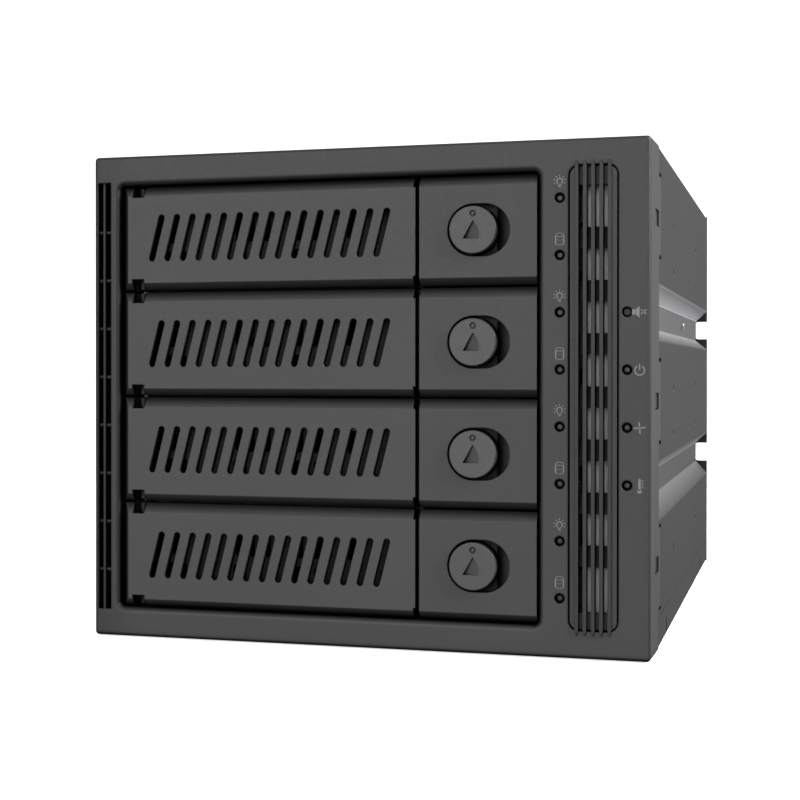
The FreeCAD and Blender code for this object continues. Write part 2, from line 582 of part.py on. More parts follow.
def guide_wall(label, face, away):
    """Inner wall with a pair of ledges for each tray.  face is the side that
    looks at the trays and away is the direction of the wall's thickness."""
    b = new_body(label)
    y0, y1 = d.guide_y, d.back_y
    H = d.case_h - d.sheet_t

    def span(p, r):
        return sorted([p, r])
    # the left wall folds its flanges over the trays, the right wall away
    lo, hi = span(face, face + away * 1.4)
    feature(b, label + "_plate", "pad", "XZ", y0, y1, [("rect", lo, hi, -H, H)])
    if away < 0:
        f0, f1, u0, u1 = face - 0.2, face + 9.0, face - 0.2, face + 5.0
    else:
        f0, f1, u0, u1 = face + 1.2, face + 10.5, face - 5.0, face + 0.2
    feature(b, label + "_flanges", "pad", "XZ", y0, y1,
            [("rect", f0, f1, H - 1.2, H), ("rect", f0, f1, -H, -H + 1.2)])
    lo, hi = span(face + away * 0.2, face - away * 2.1)
    led = feature(b, label + "_ledge", "pad", "XZ", y0 + 2.0, y1 - 3.0,
                  [("rect", lo, hi, d.pitch * -1.5 - 4.1, d.pitch * -1.5 - 2.9),
                   ("rect", lo, hi, d.pitch * -1.5 - 0.1, d.pitch * -1.5 + 1.1)])
    repeat(b, label + "_ledges", [led], "Z", d.pitch, 4)
    lo, hi = span(face - 0.5 * away, face + away * 1.8)
    air = feature(b, label + "_slot", "cut", "YZ", lo, hi,
                  [("slot", y, d.pitch * -1.5 - 8.5, y + 10.0, d.pitch * -1.5 - 8.5, 2.0) for y in (32, 56, 80, 104, 128)])
    repeat(b, label + "_slots", [air], "Z", d.pitch, 4)
    feature(b, label + "_tabs", "pad", "XZ", y1 - 1.2, y1,
            [("rect", u0, u1, 57.0, H - 1.1), ("rect", u0, u1, -H + 1.1, -57.0)])
    xm = (u0 + u1) / 2
    feature(b, label + "_tab_holes", "cut", "XZ", y1 - 1.3, y1 + 0.1,
            [("circle", -63.4 if away < 0 else 43.7, 59.4, 1.25), ("circle", -63.4 if away < 0 else 43.7, -59.4, 1.25)])
    x = -61.5 if away < 0 else 52.2
    for z0, z1, tag in ((61.0, 63.0, "t"), (-63.0, -61.0, "b")):
        feature(b, label + "_holes_" + tag, "cut", "XY", z0, z1, [("circle", x, y, 1.5) for y in (45.0, 140.0)])
    if away < 0:
        feature(b, label + "_foot", "pad", "XZ", 144.0, 156.0, [("rect", -68.5, -67.3, 17.8, 24.9)])
        feature(b, label + "_rivet_hole", "cut", "YZ", -69.0, -65.5, [("circle", 147.0, 21.35, 0.9)])
    else:
        feature(b, label + "_bracket", "pad", "XZ", 144.0, 156.0,
                [("poly", [(47.3, 26.6), (67.0, 24.9), (67.0, 17.8), (68.5, 17.8), (68.5, 26.1), (47.3, 27.9)])])
        feature(b, label + "_rivet_hole", "cut", "YZ", 66.0, 69.0, [("circle", 147.0, 21.35, 0.9)])
    node(b, label)


def rear_panel():
    fx = d.fan_x
    plate = box("rear_plate", -d.case_w, d.case_w, d.case_end, d.rear_y, -d.case_h, d.case_h)
    tools = []
    for s, tag in ((1, "r"), (-1, "l")):
        for (z0, z1), zt in (((18.4, 24.8), "u"), ((-26.5, -19.9), "d")):
            lo, hi = (68.4, 74.0) if s > 0 else (-74.0, -68.4)
            mid = (70.4, 74.0) if s > 0 else (-74.0, -70.4)
            tools.append(box("notch_%s%s_a" % (tag, zt), mid[0], mid[1], 216.0, 217.2, z0, z1))
            tools.append(box("notch_%s%s_b" % (tag, zt), lo, hi, 216.0, 217.2, z0 + 2.0, z1 - 2.0))
            for zz in (z0 + 2.0, z1 - 2.0):
                tools.append(cyl("notch_%s%s_%d" % (tag, zt, int(zz * 10) + 1000), "Y", s * 70.4, 216.0, zz, 2.0, 1.2))
    # concentric slots in front of the fan, with four spokes left between them
    rings = []
    for i, (r0, r1) in enumerate([(12.0, 16.4), (18.6, 23.0), (25.2, 29.6), (31.8, 36.4)]):
        rings.append(cut("grill_ring_%d" % i, cyl("ring_o_%d" % i, "Y", fx, 216.0, 0, r1, 1.2),
                         [cyl("ring_i_%d" % i, "Y", fx, 215.9, 0, r0, 1.4)]))
    a = math.sqrt(0.5)
    spokes = []
    for i, ang in enumerate((45, -45)):
        o = doc.addObject("Part::Box", "grill_spoke_%d" % i)
        o.Length, o.Width, o.Height = 90.0, 1.4, 3.2
        rot = FreeCAD.Rotation(V(0, 1, 0), ang)
        o.Placement = FreeCAD.Placement(V(fx.val, 215.9, 0) + rot.multVec(V(-45.0, 0, -1.6)), rot)
        spokes.append(o)
    slots = cut("grill_slots", fuse("grill_rings", rings), spokes)
    tools.append(slots)
    tools.append(box("rear_window", 34.0, 62.0, 216.0, 217.2, -48.0, 48.0))
    for sx in (-1, 1):
        for sz in (-1, 1):
            tools.append(cyl("fan_hole_%d%d" % (sx + 1, sz + 1), "Y", fx + d.fan_hole * sx, 216.0, d.fan_hole * sz, 2.2, 1.2))
    body = cut("rear_plate_cut", plate, tools)
    T = d.case_h - d.sheet_t
    flanges = [box("rear_top", -66.0, 66.0, 204.0, d.case_end + 0.1, T - 0.8, T),
               box("rear_bottom", -66.0, 66.0, 204.0, d.case_end + 0.1, -T, -T + 0.8)]
    for s, tag in ((1, "r"), (-1, "l")):
        lo, hi = (71.7, 72.5) if s > 0 else (-72.5, -71.7)
        for j, (z0, z1) in enumerate([(30.0, 60.5), (-15.0, 13.5), (-60.0, -32.0)]):
            flanges.append(box("rear_side_%s%d" % (tag, j), lo, hi, 204.0, d.case_end + 0.1, z0, z1))
    whole = fuse("rear_panel_sheet", [body] + flanges)
    holes = [cyl("rt_hole_%d%d" % (i, j), "Z", x, 210.0, z, 1.25, 2.0)
             for i, x in enumerate((-50.0, 50.0)) for j, z in enumerate((61.2, -63.2))]
    node(cut("rear_panel", whole, holes), "rear_panel")


def fasteners():
    """Flat-headed rivets and screws that close the case."""
    def flat(tag, x, y, top, grip, head, shank, cross):
        s = 1 if top else -1
        if top:
            parts = [cyl(tag + "_h", "Z", x, y, d.case_h, head, 0.25),
                     cyl(tag + "_s", "Z", x, y, d.case_h - grip, shank, grip + 0.1)]
        else:
            parts = [cyl(tag + "_h", "Z", x, y, -d.case_h - 0.25, head, 0.25),
                     cyl(tag + "_s", "Z", x, y, -d.case_h - 0.1, shank, grip + 0.1)]
        o = fuse(tag, parts)
        if cross:
            z = 63.45 if top else -64.0
            o = cut(tag + "_c", o, [box(tag + "_c1", x - 1.4, x + 1.4, y - 0.3, y + 0.3, z, z + 0.55),
                                    box(tag + "_c2", x - 0.3, x + 0.3, y - 1.4, y + 1.4, z, z + 0.55)])
        return o
    rivets, screws = [], []
    for top in (True, False):
        for x in (-61.5, 52.2):
            for y in (45.0, 140.0):
                rivets.append(flat("rivet_%d_%d_%d" % (top, int(x) + 100, int(y)), x, y, top, 2.0, 2.5, 1.44, False))
        for x in (-50.0, 50.0):
            screws.append(flat("rscrew_%d_%d" % (top, int(x) + 100), x, 210.0, top, 2.4, 2.8, 1.2, True))
    group("frame_rivets", "frame_rivets", rivets)
    group("rear_panel_screws", "rear_panel_screws", screws)
    sr = []
    for s in (1, -1):
        lo = 66.2
        x0 = lo if s > 0 else -69.35
        x1 = 69.35 if s > 0 else -lo
        shank = cyl("crivet_s%d" % (s + 1), "X", x0, 147.0, 21.35, 0.85, x1 - x0)
        head = cyl("crivet_h%d" % (s + 1), "X", 69.3 if s > 0 else -70.1, 147.0, 21.35, 1.3, 0.8)
        sr.append(fuse("crivet%d" % (s + 1), [shank, head]))
    group("channel_rivets", "channel_rivets", sr)


# ============================================================ the electrics
def backplane():
    b = new_body("backplane_board")
    y0, y1 = d.back_y, d.back_y + d.board_t
    feature(b, "backplane_plate", "pad", "XZ", y0, y1, [("rect", -67.2, 62.0, -61.3, 61.3)])
    air = feature(b, "backplane_slot", "cut", "XZ", y0, y1,
                  [("rrect", -56.0, -37.0, d.pitch * -1.5 - 1.0, d.pitch * -1.5 + 8.0, 1.5),
                   ("rrect", -30.0, -11.0, d.pitch * -1.5 - 1.0, d.pitch * -1.5 + 8.0, 1.5)])
    repeat(b, "backplane_slots", [air], "Z", d.pitch, 4)
    feature(b, "backplane_holes", "cut", "XZ", y0, y1,
            [("circle", x, z, 1.6) for x in (-63.4, 43.7) for z in (59.4, -59.4)])
    node(b, "backplane_board")

    socks = []
    for i, k in enumerate(BAYS):
        z = d.pitch * k
        body = box("sock_b%d" % i, -10.0, 33.0, 156.2, d.back_y, z - 9.6, z - 3.9)
        socks.append(cut("sock_%d" % i, body, [box("sock_a%d" % i, -8.0, 4.2, 156.0, 160.4, z - 7.9, z - 5.5),
                                               box("sock_c%d" % i, 6.2, 31.0, 156.0, 160.4, z - 7.9, z - 5.5)]))
    group("drive_sockets", "drive_sockets", socks)

    ports = []
    y1 = d.back_y + d.board_t
    for i, k in enumerate(BAYS):
        z = d.pitch * k
        body = box("port_b%d" % i, -57.0, -41.5, y1, y1 + 8.5, z - 10.0, z - 3.8)
        ports.append(cut("port_%d" % i, body, [box("port_a%d" % i, -55.5, -43.0, y1 + 2.0, y1 + 9.0, z - 7.9, z - 5.4)]))
    group("data_ports", "data_ports", ports)

    inlets = []
    for i, z in enumerate((24.0, -24.0)):
        body = box("inlet_b%d" % i, 18.0, 39.5, y1, y1 + 13.0, z - 4.6, z + 4.6)
        shell = cut("inlet_c%d" % i, body, [box("inlet_a%d" % i, 19.4, 38.1, y1 + 2.5, y1 + 13.5, z - 3.3, z + 3.3)])
        pins = [cyl("inlet_p%d%d" % (i, j), "Y", 21.13 + 5.08 * j, y1 + 2.3, z, 1.05, 3.7) for j in range(4)]
        inlets.append(fuse("inlet_%d" % i, [shell] + pins))
    group("power_inlets", "power_inlets", inlets)

    fh = fuse("fan_header", [box("fanh_base", 0.0, 7.6, y1, y1 + 3.2, 44.8, 50.6),
                             box("fanh_wall", 0.0, 7.6, y1, y1 + 11.0, 49.6, 50.6)] +
              [box("fanh_pin%d" % j, 0.96 + 2.54 * j, 1.6 + 2.54 * j, y1 + 3.1, y1 + 10.5, 47.1, 47.74) for j in range(3)])
    node(fh, "fan_header")

    caps = [fuse("cap_%d" % i, [cyl("cap_a%d" % i, "Y", x, y1 + 0.4, z, 3.15, 7.3),
                                box("cap_b%d" % i, x - 3.4, x + 3.4, y1, y1 + 0.5, z - 3.4, z + 3.4)])
            for i, (x, z) in enumerate([(9.0, 24.0), (9.0, -24.0), (-20.0, 52.0), (-20.0, -52.0)])]
    group("backplane_capacitors", "backplane_capacitors", caps)

    screws = []
    for i, (x, z) in enumerate([(x, z) for x in (-63.4, 43.7) for z in (59.4, -59.4)]):
        o = fuse("bps_%d" % i, [cyl("bps_s%d" % i, "Y", x, 160.2, z, 1.2, 3.8), cyl("bps_h%d" % i, "Y", x, y1, z, 2.0, 1.6)])
        screws.append(cut("bps_c%d" % i, o, [box("bps_x%d" % i, x - 1.3, x + 1.3, y1 + 0.8, y1 + 2.0, z - 0.3, z + 0.3),
                                             box("bps_y%d" % i, x - 0.3, x + 0.3, y1 + 0.8, y1 + 2.0, z - 1.3, z + 1.3)]))
    group("backplane_screws", "backplane_screws", screws)

    # flat lead between the lamp board and the backplane, with a plug on each
    # end, straight along the space behind the grille
    lead = fuse("board_link_lead", [box("lead_strip", 57.7, 58.3, 16.0, 156.0, 47.0, 55.0),
                                    box("lead_plug_f", 56.0, 60.0, 15.0, 19.0, 46.6, 55.4),
                                    box("lead_plug_r", 56.0, 60.0, 153.0, 157.0, 46.6, 55.4)])
    node(lead, "board_link_lead")
    sock = fuse("board_link_socket", [box("bls_a", 55.0, 61.0, 157.0, d.back_y, 46.0, 56.0),
                                      box("bls_b", 54.0, 62.0, 160.5, d.back_y, 45.0, 57.0)])
    node(sock, "board_link_socket")


def fan():
    y0 = d.fan_y
    hw = d.fan_hw
    b = new_body("fan_frame")
    feature(b, "fan_flange_a", "pad", "XZ", 0, 4.0, [("rrect", -hw, hw, -hw, hw, 3.0)])
    feature(b, "fan_barrel", "pad", "XZ", 3.9, 21.1, [("circle", 0, 0, d.fan_rad + 1.35)])
    feature(b, "fan_flange_b", "pad", "XZ", 21.0, 25.0, [("rrect", -hw, hw, -hw, hw, 3.0)])
    feature(b, "fan_bore", "cut", "XZ", 0, 25.0, [("circle", 0, 0, d.fan_rad)])
    hub = feature(b, "fan_strut", "pad", "XZ", 0, 2.0, [("poly", [(-2.0, 0.0), (2.0, 0.0), (2.0, 39.2), (-2.0, 39.2)])])
    ring(b, "fan_struts", [hub], 4)
    feature(b, "fan_hub_seat", "pad", "XZ", 0, 2.0, [("circle", 0, 0, 18.5)])
    feature(b, "fan_shaft_bore", "cut", "XZ", 0, 2.0, [("circle", 0, 0, 1.56)])
    feature(b, "fan_holes", "cut", "XZ", 0, 25.0,
            [("circle", sx * d.fan_hole, sz * d.fan_hole, 2.15) for sx in (-1, 1) for sz in (-1, 1)])
    node(b, "fan_frame", dx=d.fan_x, dy=y0)

    r = new_body("fan_rotor")
    feature(r, "rotor_hub", "pad", "XZ", 2.6, 22.0, [("circle", 0, 0, 17.5)])
    round_edges(r, "rotor_round", 1.2, lambda e, bb: bb.YMin > 21.9)
    blade = feature(r, "rotor_blade", "pad", "YZ", 15.0, 36.0,
                    [("poly", [(4.0, -8.6), (5.6, -8.6), (10.0, -4.6), (15.2, 1.6), (20.4, 8.6), (18.9, 8.6), (13.6, 2.2), (8.4, -3.8)])])
    ring(r, "rotor_blades", [blade], 7)
    feature(r, "rotor_shaft", "pad", "XZ", 0.3, 3.0, [("circle", 0, 0, 1.5)])
    node(r, "fan_rotor", dx=d.fan_x, dy=y0)

    screws = []
    for i, (sx, sz) in enumerate([(-1, -1), (-1, 1), (1, -1), (1, 1)]):
        x, z = d.fan_x + d.fan_hole * sx, d.fan_hole * sz
        o = fuse("fs_%d" % i, [cyl("fs_s%d" % i, "Y", x, 207.0, z, 2.08, 10.1), cyl("fs_h%d" % i, "Y", x, d.rear_y, z, 4.0, 1.2)])
        screws.append(cut("fs_c%d" % i, o, [box("fs_x%d" % i, x - 2.0, x + 2.0, 217.5, 218.4, z - 0.4, z + 0.4),
                                            box("fs_y%d" % i, x - 0.4, x + 0.4, 217.5, 218.4, z - 2.0, z + 2.0)]))
    group("fan_screws", "fan_screws", screws)

    # the fan's lead, three wires in one sleeve: straight runs and tangent arcs
    pts = [V(15.0, 191.15, 30.0), V(15.0, 184.6, 30.0), V(10.5, 183.4, 41.0), V(3.8, 183.0, 47.4), V(3.8, 176.5, 47.4)]
    edges, last = [], pts[0]
    for p, c, n in zip(pts, pts[1:], pts[2:]):
        u, w = (p - c), (n - c)
        lu, lw = u.Length, w.Length
        cut_back = 0.4 * min(lu, lw)
        a = c + u * (cut_back / lu)
        z = c + w * (cut_back / lw)
        bis = ((u * (1 / lu)) + (w * (1 / lw)))
        ang = u.getAngle(w)
        rad = cut_back * math.tan(ang / 2)
        centre = c + bis * ((rad / math.sin(ang / 2)) / bis.Length)
        m = centre + (c - centre) * (rad / (c - centre).Length)
        edges.append(Part.LineSegment(last, a).toShape())
        edges.append(Part.Arc(a, m, z).toShape())
        last = z
    edges.append(Part.LineSegment(last, pts[-1]).toShape())
    wire = Part.Wire(edges)
    prof = Part.Wire([Part.makeCircle(1.3, pts[0], pts[1] - pts[0])])
    pipe = wire.makePipeShell([prof], True, False)
    plug = Part.makeBox(7.4, 11.2, 3.6, V(0.1, 167.4, 45.6))
    plug = plug.cut(Part.makeBox(6.6, 8.4, 1.6, V(0.5, 167.0, 46.6)))
    lead = doc.addObject("Part::Feature", "fan_lead")
    lead.Shape = pipe.fuse(plug)
    node(lead, "fan_lead")


# ================================================================ the trays
def coil_shape(rad, wire, length, turns):
    """Compression spring round the Y axis, its wire's line starting at y = 0."""
    n = int(turns * 16)
    pts = [V(rad * math.cos(math.pi * i / 8), length * i / n, rad * math.sin(math.pi * i / 8)) for i in range(n + 1)]
    line = Part.BSplineCurve()
    line.interpolate(pts)
    path = Part.Wire([line.toShape()])
    prof = Part.Wire([Part.makeCircle(wire, pts[0], line.tangent(line.FirstParameter)[0])])
    return path.makePipeShell([prof], True, False)


def tray(n, k):
    hh = d.tray_hh
    up, low, by = d.bev_top, d.bev_low, d.bev_y

    # moulded front: fixed block at the right, wall and hinge ears at the left
    b = new_body("tray_front_%d" % n)
    nm = "tf%d_" % n
    feature(b, nm + "block", "pad", "YZ", d.seam_r, d.tray_r,
            [("poly", [(0, -hh + low), (by, -hh), (d.wall_e, -hh), (d.wall_e, hh), (by, hh), (0, hh - up)])])
    feature(b, nm + "wall", "pad", "XZ", d.wall_y, d.wall_e, [("rect", d.tray_l + 0.1, d.seam_r + 0.1, -hh, hh)])
    for z0, z1, tag in ((10.95, 13.4, "t"), (-13.4, -10.95, "b")):
        feature(b, nm + "neck_" + tag, "pad", "XY", z0, z1, [("rect", d.pin_x - 0.1, d.pin_x + 1.55, d.pin_y, d.wall_y + 0.2)])
        feature(b, nm + "ear_" + tag, "pad", "XY", z0, z1, [("circle", d.pin_x, d.pin_y, 1.4)])
    feature(b, nm + "pin_hole", "cut", "XY", -14.0, 14.0, [("circle", d.pin_x, d.pin_y, d.pin_rad + 0.02)])
    feature(b, nm + "cavity", "cut", "XZ", 4.2, d.wall_e, [("rect", d.seam_r + 1.7, d.tray_r - 1.6, -11.6, 11.6)])
    feature(b, nm + "scoop", "cut", "XZ", 0, d.scoop_d,
            [("slot", d.btn_x, 0, d.scoop_x, 0, d.scoop_rad)])
    feature(b, nm + "ramp", "pad", "XY", -6.6, 6.6,
            [("poly", [(35.1, d.scoop_d + 0.1), (d.scoop_x + d.scoop_rad, d.scoop_d + 0.1),
                       (d.scoop_x + d.scoop_rad, 0), (35.1, d.scoop_d)])])
    feature(b, nm + "button_bore", "cut", "XZ", 0, 4.4, [("circle", d.btn_x, 0, d.btn_rad + 0.2)])
    feature(b, nm + "latch_window", "cut", "YZ", d.seam_r - 0.2, d.seam_r + 2.0, [("rect", 4.6, 9.0, -2.7, 2.7)])
    upper = [(-58.3, -50.2), (-36.3, -31.0), (-29.6, -26.6), (-21.2, -17.6), (-15.6, -10.6), (-5.6, -2.6)]
    lower = [(-58.3, -50.2), (-37.0, -33.4), (-20.6, -16.6), (-14.6, -11.4), (3.6, 6.6)]
    feature(b, nm + "air_top", "cut", "XZ", d.wall_y, d.wall_e, [("rrect", x0, x1, -0.7, 7.6, 0.8) for x0, x1 in upper])
    feature(b, nm + "air_low", "cut", "XZ", d.wall_y, d.wall_e, [("rrect", x0, x1, -7.6, -3.0, 0.8) for x0, x1 in lower])
    node(b, "tray_front_%d" % n, bay=k)

    # steel carrier: a slotted floor, and standing on it a drilled rail at
    # each side and the plate behind the tray front
    c = new_body("tray_carrier_%d" % n)
    nm = "tc%d_" % n
    x, w = d.tray_x, d.drive_hw
    feature(c, nm + "floor", "pad", "XZ", d.wall_e, 152.0, [("rect", x - w - 2.6, x + w + 2.6, -hh + 0.1, -hh + 1.1)])
    feature(c, nm + "floor_holes", "cut", "XY", -14.0, -12.0,
            [("circle", x + sx, y, 1.7) for sx in (-47.625, 47.625) for y in (73.55, 118.0)])
    air = feature(c, nm + "floor_slot", "cut", "XY", -14.0, -12.0, [("slot", -47.0, 28.0, 27.0, 28.0, 4.5)])
    repeat(c, nm + "floor_slots", [air], "Y", 17.5, 7)
    node(c, "tray_carrier_%d" % n, bay=k)

    rails = [fuse("tr%d_plate" % n, [
        box("tr%d_high" % n, 15.9, x + w + 2.5, d.wall_e, 11.4, -hh + 1.1, 12.6),
        box("tr%d_low" % n, x - w - 2.5, 16.0, d.wall_e, 11.4, -hh + 1.1, -8.4)])]
    for s in (-1, 1):
        rn = "tr%d_%d_" % (n, s + 1)
        web = box(rn + "web", x + s * (w + 1.45) - 1.15, x + s * (w + 1.45) + 1.15, 11.5, 152.0, -hh + 1.1, 0.6)
        run = box(rn + "run", x + s * (w + 3.45) - 0.95, x + s * (w + 3.45) + 0.95, 19.0, 152.0, -2.6, -0.4)
        rails.append(cut(rn + "rail", fuse(rn + "bar", [web, run]),
                         [cyl(rn + "hole%d" % j, "X", x + s * (w + 1.45) - 2.0, y, -6.3, 1.8, 4.0)
                          for j, y in enumerate((29.2, 89.2, 130.8))]))
    node(fuse("tray_frame_%d" % n, rails), "tray_frame_%d" % n, bay=k)

    # ejection lever: a ribbed channel with slanted air slots, hinged at left
    v = new_body("lever_%d" % n)
    nm = "lv%d_" % n
    feature(v, nm + "channel", "pad", "YZ", d.tray_l, d.seam_l,
            [("poly", [(0, -hh + low), (by, -hh + 0.05), (5.0, -hh + 0.05), (5.0, -12.3), (2.9, -12.3), (2.2, -11.5),
                       (2.2, 11.5), (2.9, 12.3), (5.0, 12.3), (5.0, hh - 0.05), (by, hh - 0.05), (0, hh - up)])])
    feature(v, nm + "left_relief", "cut", "XZ", 2.2, 5.2, [("rect", -65.6, -58.0, -14.0, 14.0)])
    feature(v, nm + "left_rib", "pad", "XZ", 2.0, 2.9, [("rect", d.tray_l, -62.2, -hh + 0.05, hh - 0.05)])
    feature(v, nm + "notches", "cut", "XZ", -0.2, 5.2,
            [("rect", -62.2, -58.7, 10.75, 14.0), ("rect", -62.2, -58.7, -14.0, -10.75)])
    feature(v, nm + "barrel", "pad", "XY", -10.7, 10.7, [("circle", d.pin_x, d.pin_y, 2.6)])
    feature(v, nm + "pin_hole", "cut", "XY", -11.0, 11.0, [("circle", d.pin_x, d.pin_y, d.pin_rad + 0.06)])
    feature(v, nm + "left_edge", "cut", "XY", -14.0, 14.0, [("poly", [(-65.6, -0.2), (-63.15, -0.2), (-65.6, 2.98)])])
    slot = feature(v, nm + "slot", "cut", "XZ", -0.2, 2.6,
                   [("slot", -56.5, -d.slot_z, -53.8, d.slot_z, d.slot_rad)])
    repeat(v, nm + "slots", [slot], "X", d.slot_pitch, 15)
    feature(v, nm + "catch", "pad", "XZ", 2.0, 6.4, [("rect", 12.6, 14.6, -3.5, 3.5)])
    feature(v, nm + "corner_cuts", "cut", "XZ", -0.2, 5.2,
            [("rect", 14.15, 15.0, 11.1, 14.0), ("rect", 14.15, 15.0, -14.0, -11.1)])
    node(v, "lever_%d" % n, bay=k)

    node(cyl("hinge_pin_%d" % n, "Z", 0, 0, 0, d.pin_rad, 26.7), "hinge_pin_%d" % n, bay=k)
    pin = NODES[-1]
    for path, q in (("Placement.Base.x", d.pin_x), ("Placement.Base.y", d.front_y + d.pin_y),
                    ("Placement.Base.z", d.mid_z + d.pitch * k - 13.35)):
        bind(pin, path, q)

    # release button with its latch arm
    p = new_body("release_button_%d" % n)
    nm = "rb%d_" % n
    out = d.btn_out
    feature(p, nm + "cap", "pad", "XZ", -out, 4.8, [("circle", d.btn_x, 0, d.btn_rad)])
    round_edges(p, nm + "cap_round", 0.25, lambda e, bb: bb.YMax < -1.19)
    feature(p, nm + "triangle", "cut", "XZ", -out, 0,
            [("poly", [(d.btn_x - 2.45, -2.15), (d.btn_x + 2.65, -2.15), (d.btn_x + 0.1, 2.35)])])
    feature(p, nm + "triangle_floor", "pad", "XY", -2.3, 2.5,
            [("poly", [(d.btn_x - 2.6, 0.1), (d.btn_x + 2.7, 0.1), (d.btn_x + 2.7, -out + 0.02), (d.btn_x + 1.6, -out + 0.02), (d.btn_x - 2.6, -0.05)])])
    feature(p, nm + "dot", "cut", "XZ", -out, -out + 0.45,
            [("circle", d.btn_x + 0.1, 4.05, 0.82), ("circle", d.btn_x + 0.1, 4.05, 0.36)])
    feature(p, nm + "flange", "pad", "XZ", 4.6, 5.5, [("circle", d.btn_x, 0, 6.9)])
    feature(p, nm + "arm", "pad", "XZ", 4.9, 6.3, [("rect", 15.2, d.btn_x - 5.0, -2.0, 2.0)])
    feature(p, nm + "spring_boss", "pad", "XZ", 5.4, 6.6, [("circle", d.btn_x, 0, 2.2)])
    node(p, "release_button_%d" % n, bay=k)

    # return spring, between the button's flange and the carrier's flange
    sp = doc.addObject("Part::Feature", "button_spring_%d" % n)
    sp.Shape = coil_shape(3.0, 0.22, 4.25, 3.8)
    node(sp, "button_spring_%d" % n, bay=k, dx=d.btn_x, dy=5.84)


front_bezel()
vent_grille()
front_electrics()
outer_cover()
bottom_pan()
guide_wall("left_guide_wall", -66.0, -1)
guide_wall("right_guide_wall", 46.1, 1)
rear_panel()
fasteners()
backplane()
fan()
for n, k in enumerate(BAYS, start=1):
    tray(n, k)

doc.recompute()

# --------------------------------------------------------- check and write
bad = []
for o in doc.Objects:
    if "Invalid" in o.State or "Error" in o.State:
        bad.append("%s: %s" % (o.Name, o.State))
for o in NODES:
    s = o.Shape
    if s.isNull() or not s.isValid() or not s.Solids:
        bad.append("%s: shape" % o.Label)
if bad:
    raise RuntimeError("unfinished pieces: " + "; ".join(bad))

os.makedirs("parts", exist_ok=True)
whole = FreeCAD.BoundBox()
for o in NODES:
    o.Shape.exportStep(os.path.join("parts", o.Label + ".step"))
    whole.add(o.Shape.BoundBox)
    print("%-24s solids %2d  volume %10.1f" % (o.Label, len(o.Shape.Solids), o.Shape.Volume))
print("nodes", len(NODES), "box", whole)
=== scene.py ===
import bpy
import bmesh
import json
import math
import random
from mathutils import Vector, Matrix, Euler


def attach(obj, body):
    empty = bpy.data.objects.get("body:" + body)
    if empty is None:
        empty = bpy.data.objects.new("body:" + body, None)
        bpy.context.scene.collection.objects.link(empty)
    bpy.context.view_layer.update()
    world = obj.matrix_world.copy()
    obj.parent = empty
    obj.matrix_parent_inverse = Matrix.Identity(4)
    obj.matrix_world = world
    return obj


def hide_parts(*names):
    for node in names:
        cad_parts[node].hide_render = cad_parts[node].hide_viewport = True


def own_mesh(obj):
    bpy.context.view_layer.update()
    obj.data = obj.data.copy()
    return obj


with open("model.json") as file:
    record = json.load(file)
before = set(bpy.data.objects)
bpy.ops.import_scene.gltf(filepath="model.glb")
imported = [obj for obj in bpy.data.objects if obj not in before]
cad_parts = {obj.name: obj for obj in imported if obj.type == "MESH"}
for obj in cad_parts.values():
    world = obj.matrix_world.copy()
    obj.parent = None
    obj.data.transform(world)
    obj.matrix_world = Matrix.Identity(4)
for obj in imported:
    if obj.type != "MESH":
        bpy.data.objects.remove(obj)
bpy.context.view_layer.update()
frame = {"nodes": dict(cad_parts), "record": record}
nodes = frame["nodes"]
random.seed(7)

MM = 0.001
FRONT, MID = -108.5, 63.8
BAYS = [1.5, 0.5, -0.5, -1.5]
PITCH = 27.8


def P(x, y, z):
    """From the working frame in mm (front face at y 0, mid height at z 0) to metres."""
    return Vector((x * MM, (y + FRONT) * MM, (z + MID) * MM))


# ------------------------------------------------------------------ materials
def new_mat(name):
    m = bpy.data.materials.new(name)
    m.use_nodes = True
    nt = m.node_tree
    nt.nodes.clear()
    out = nt.nodes.new("ShaderNodeOutputMaterial")
    bsdf = nt.nodes.new("ShaderNodeBsdfPrincipled")
    nt.links.new(bsdf.outputs["BSDF"], out.inputs["Surface"])
    tc = nt.nodes.new("ShaderNodeTexCoord")
    return m, nt, bsdf, tc.outputs["Object"]


def noise(nt, vec, scale, detail=3.0, rough=0.55, stretch=None):
    if stretch is not None:
        mp = nt.nodes.new("ShaderNodeMapping")
        mp.inputs["Scale"].default_value = stretch
        nt.links.new(vec, mp.inputs["Vector"])
        vec = mp.outputs["Vector"]
    n = nt.nodes.new("ShaderNodeTexNoise")
    n.inputs["Scale"].default_value = scale
    n.inputs["Detail"].default_value = detail
    n.inputs["Roughness"].default_value = rough
    nt.links.new(vec, n.inputs["Vector"])
    return n.outputs["Fac"]


def ramp(nt, fac, stops):
    r = nt.nodes.new("ShaderNodeValToRGB")
    els = r.color_ramp.elements
    while len(els) < len(stops):
        els.new(0.5)
    for e, (p, c) in zip(els, stops):
        e.position = p
        e.color = (c, c, c, 1) if isinstance(c, float) else (*c, 1)
    nt.links.new(fac, r.inputs["Fac"])
    return r.outputs["Color"]


def span(nt, fac, a, b):
    m = nt.nodes.new("ShaderNodeMapRange")
    m.inputs["From Min"].default_value = 0.3
    m.inputs["From Max"].default_value = 0.7
    m.inputs["To Min"].default_value = a
    m.inputs["To Max"].default_value = b
    nt.links.new(fac, m.inputs["Value"])
    return m.outputs["Result"]


def remap(nt, fac, f0, f1, t0, t1):
    m = nt.nodes.new("ShaderNodeMapRange")
    m.inputs["From Min"].default_value = f0
    m.inputs["From Max"].default_value = f1
    m.inputs["To Min"].default_value = t0
    m.inputs["To Max"].default_value = t1
    nt.links.new(fac, m.inputs["Value"])
    return m.outputs["Result"]


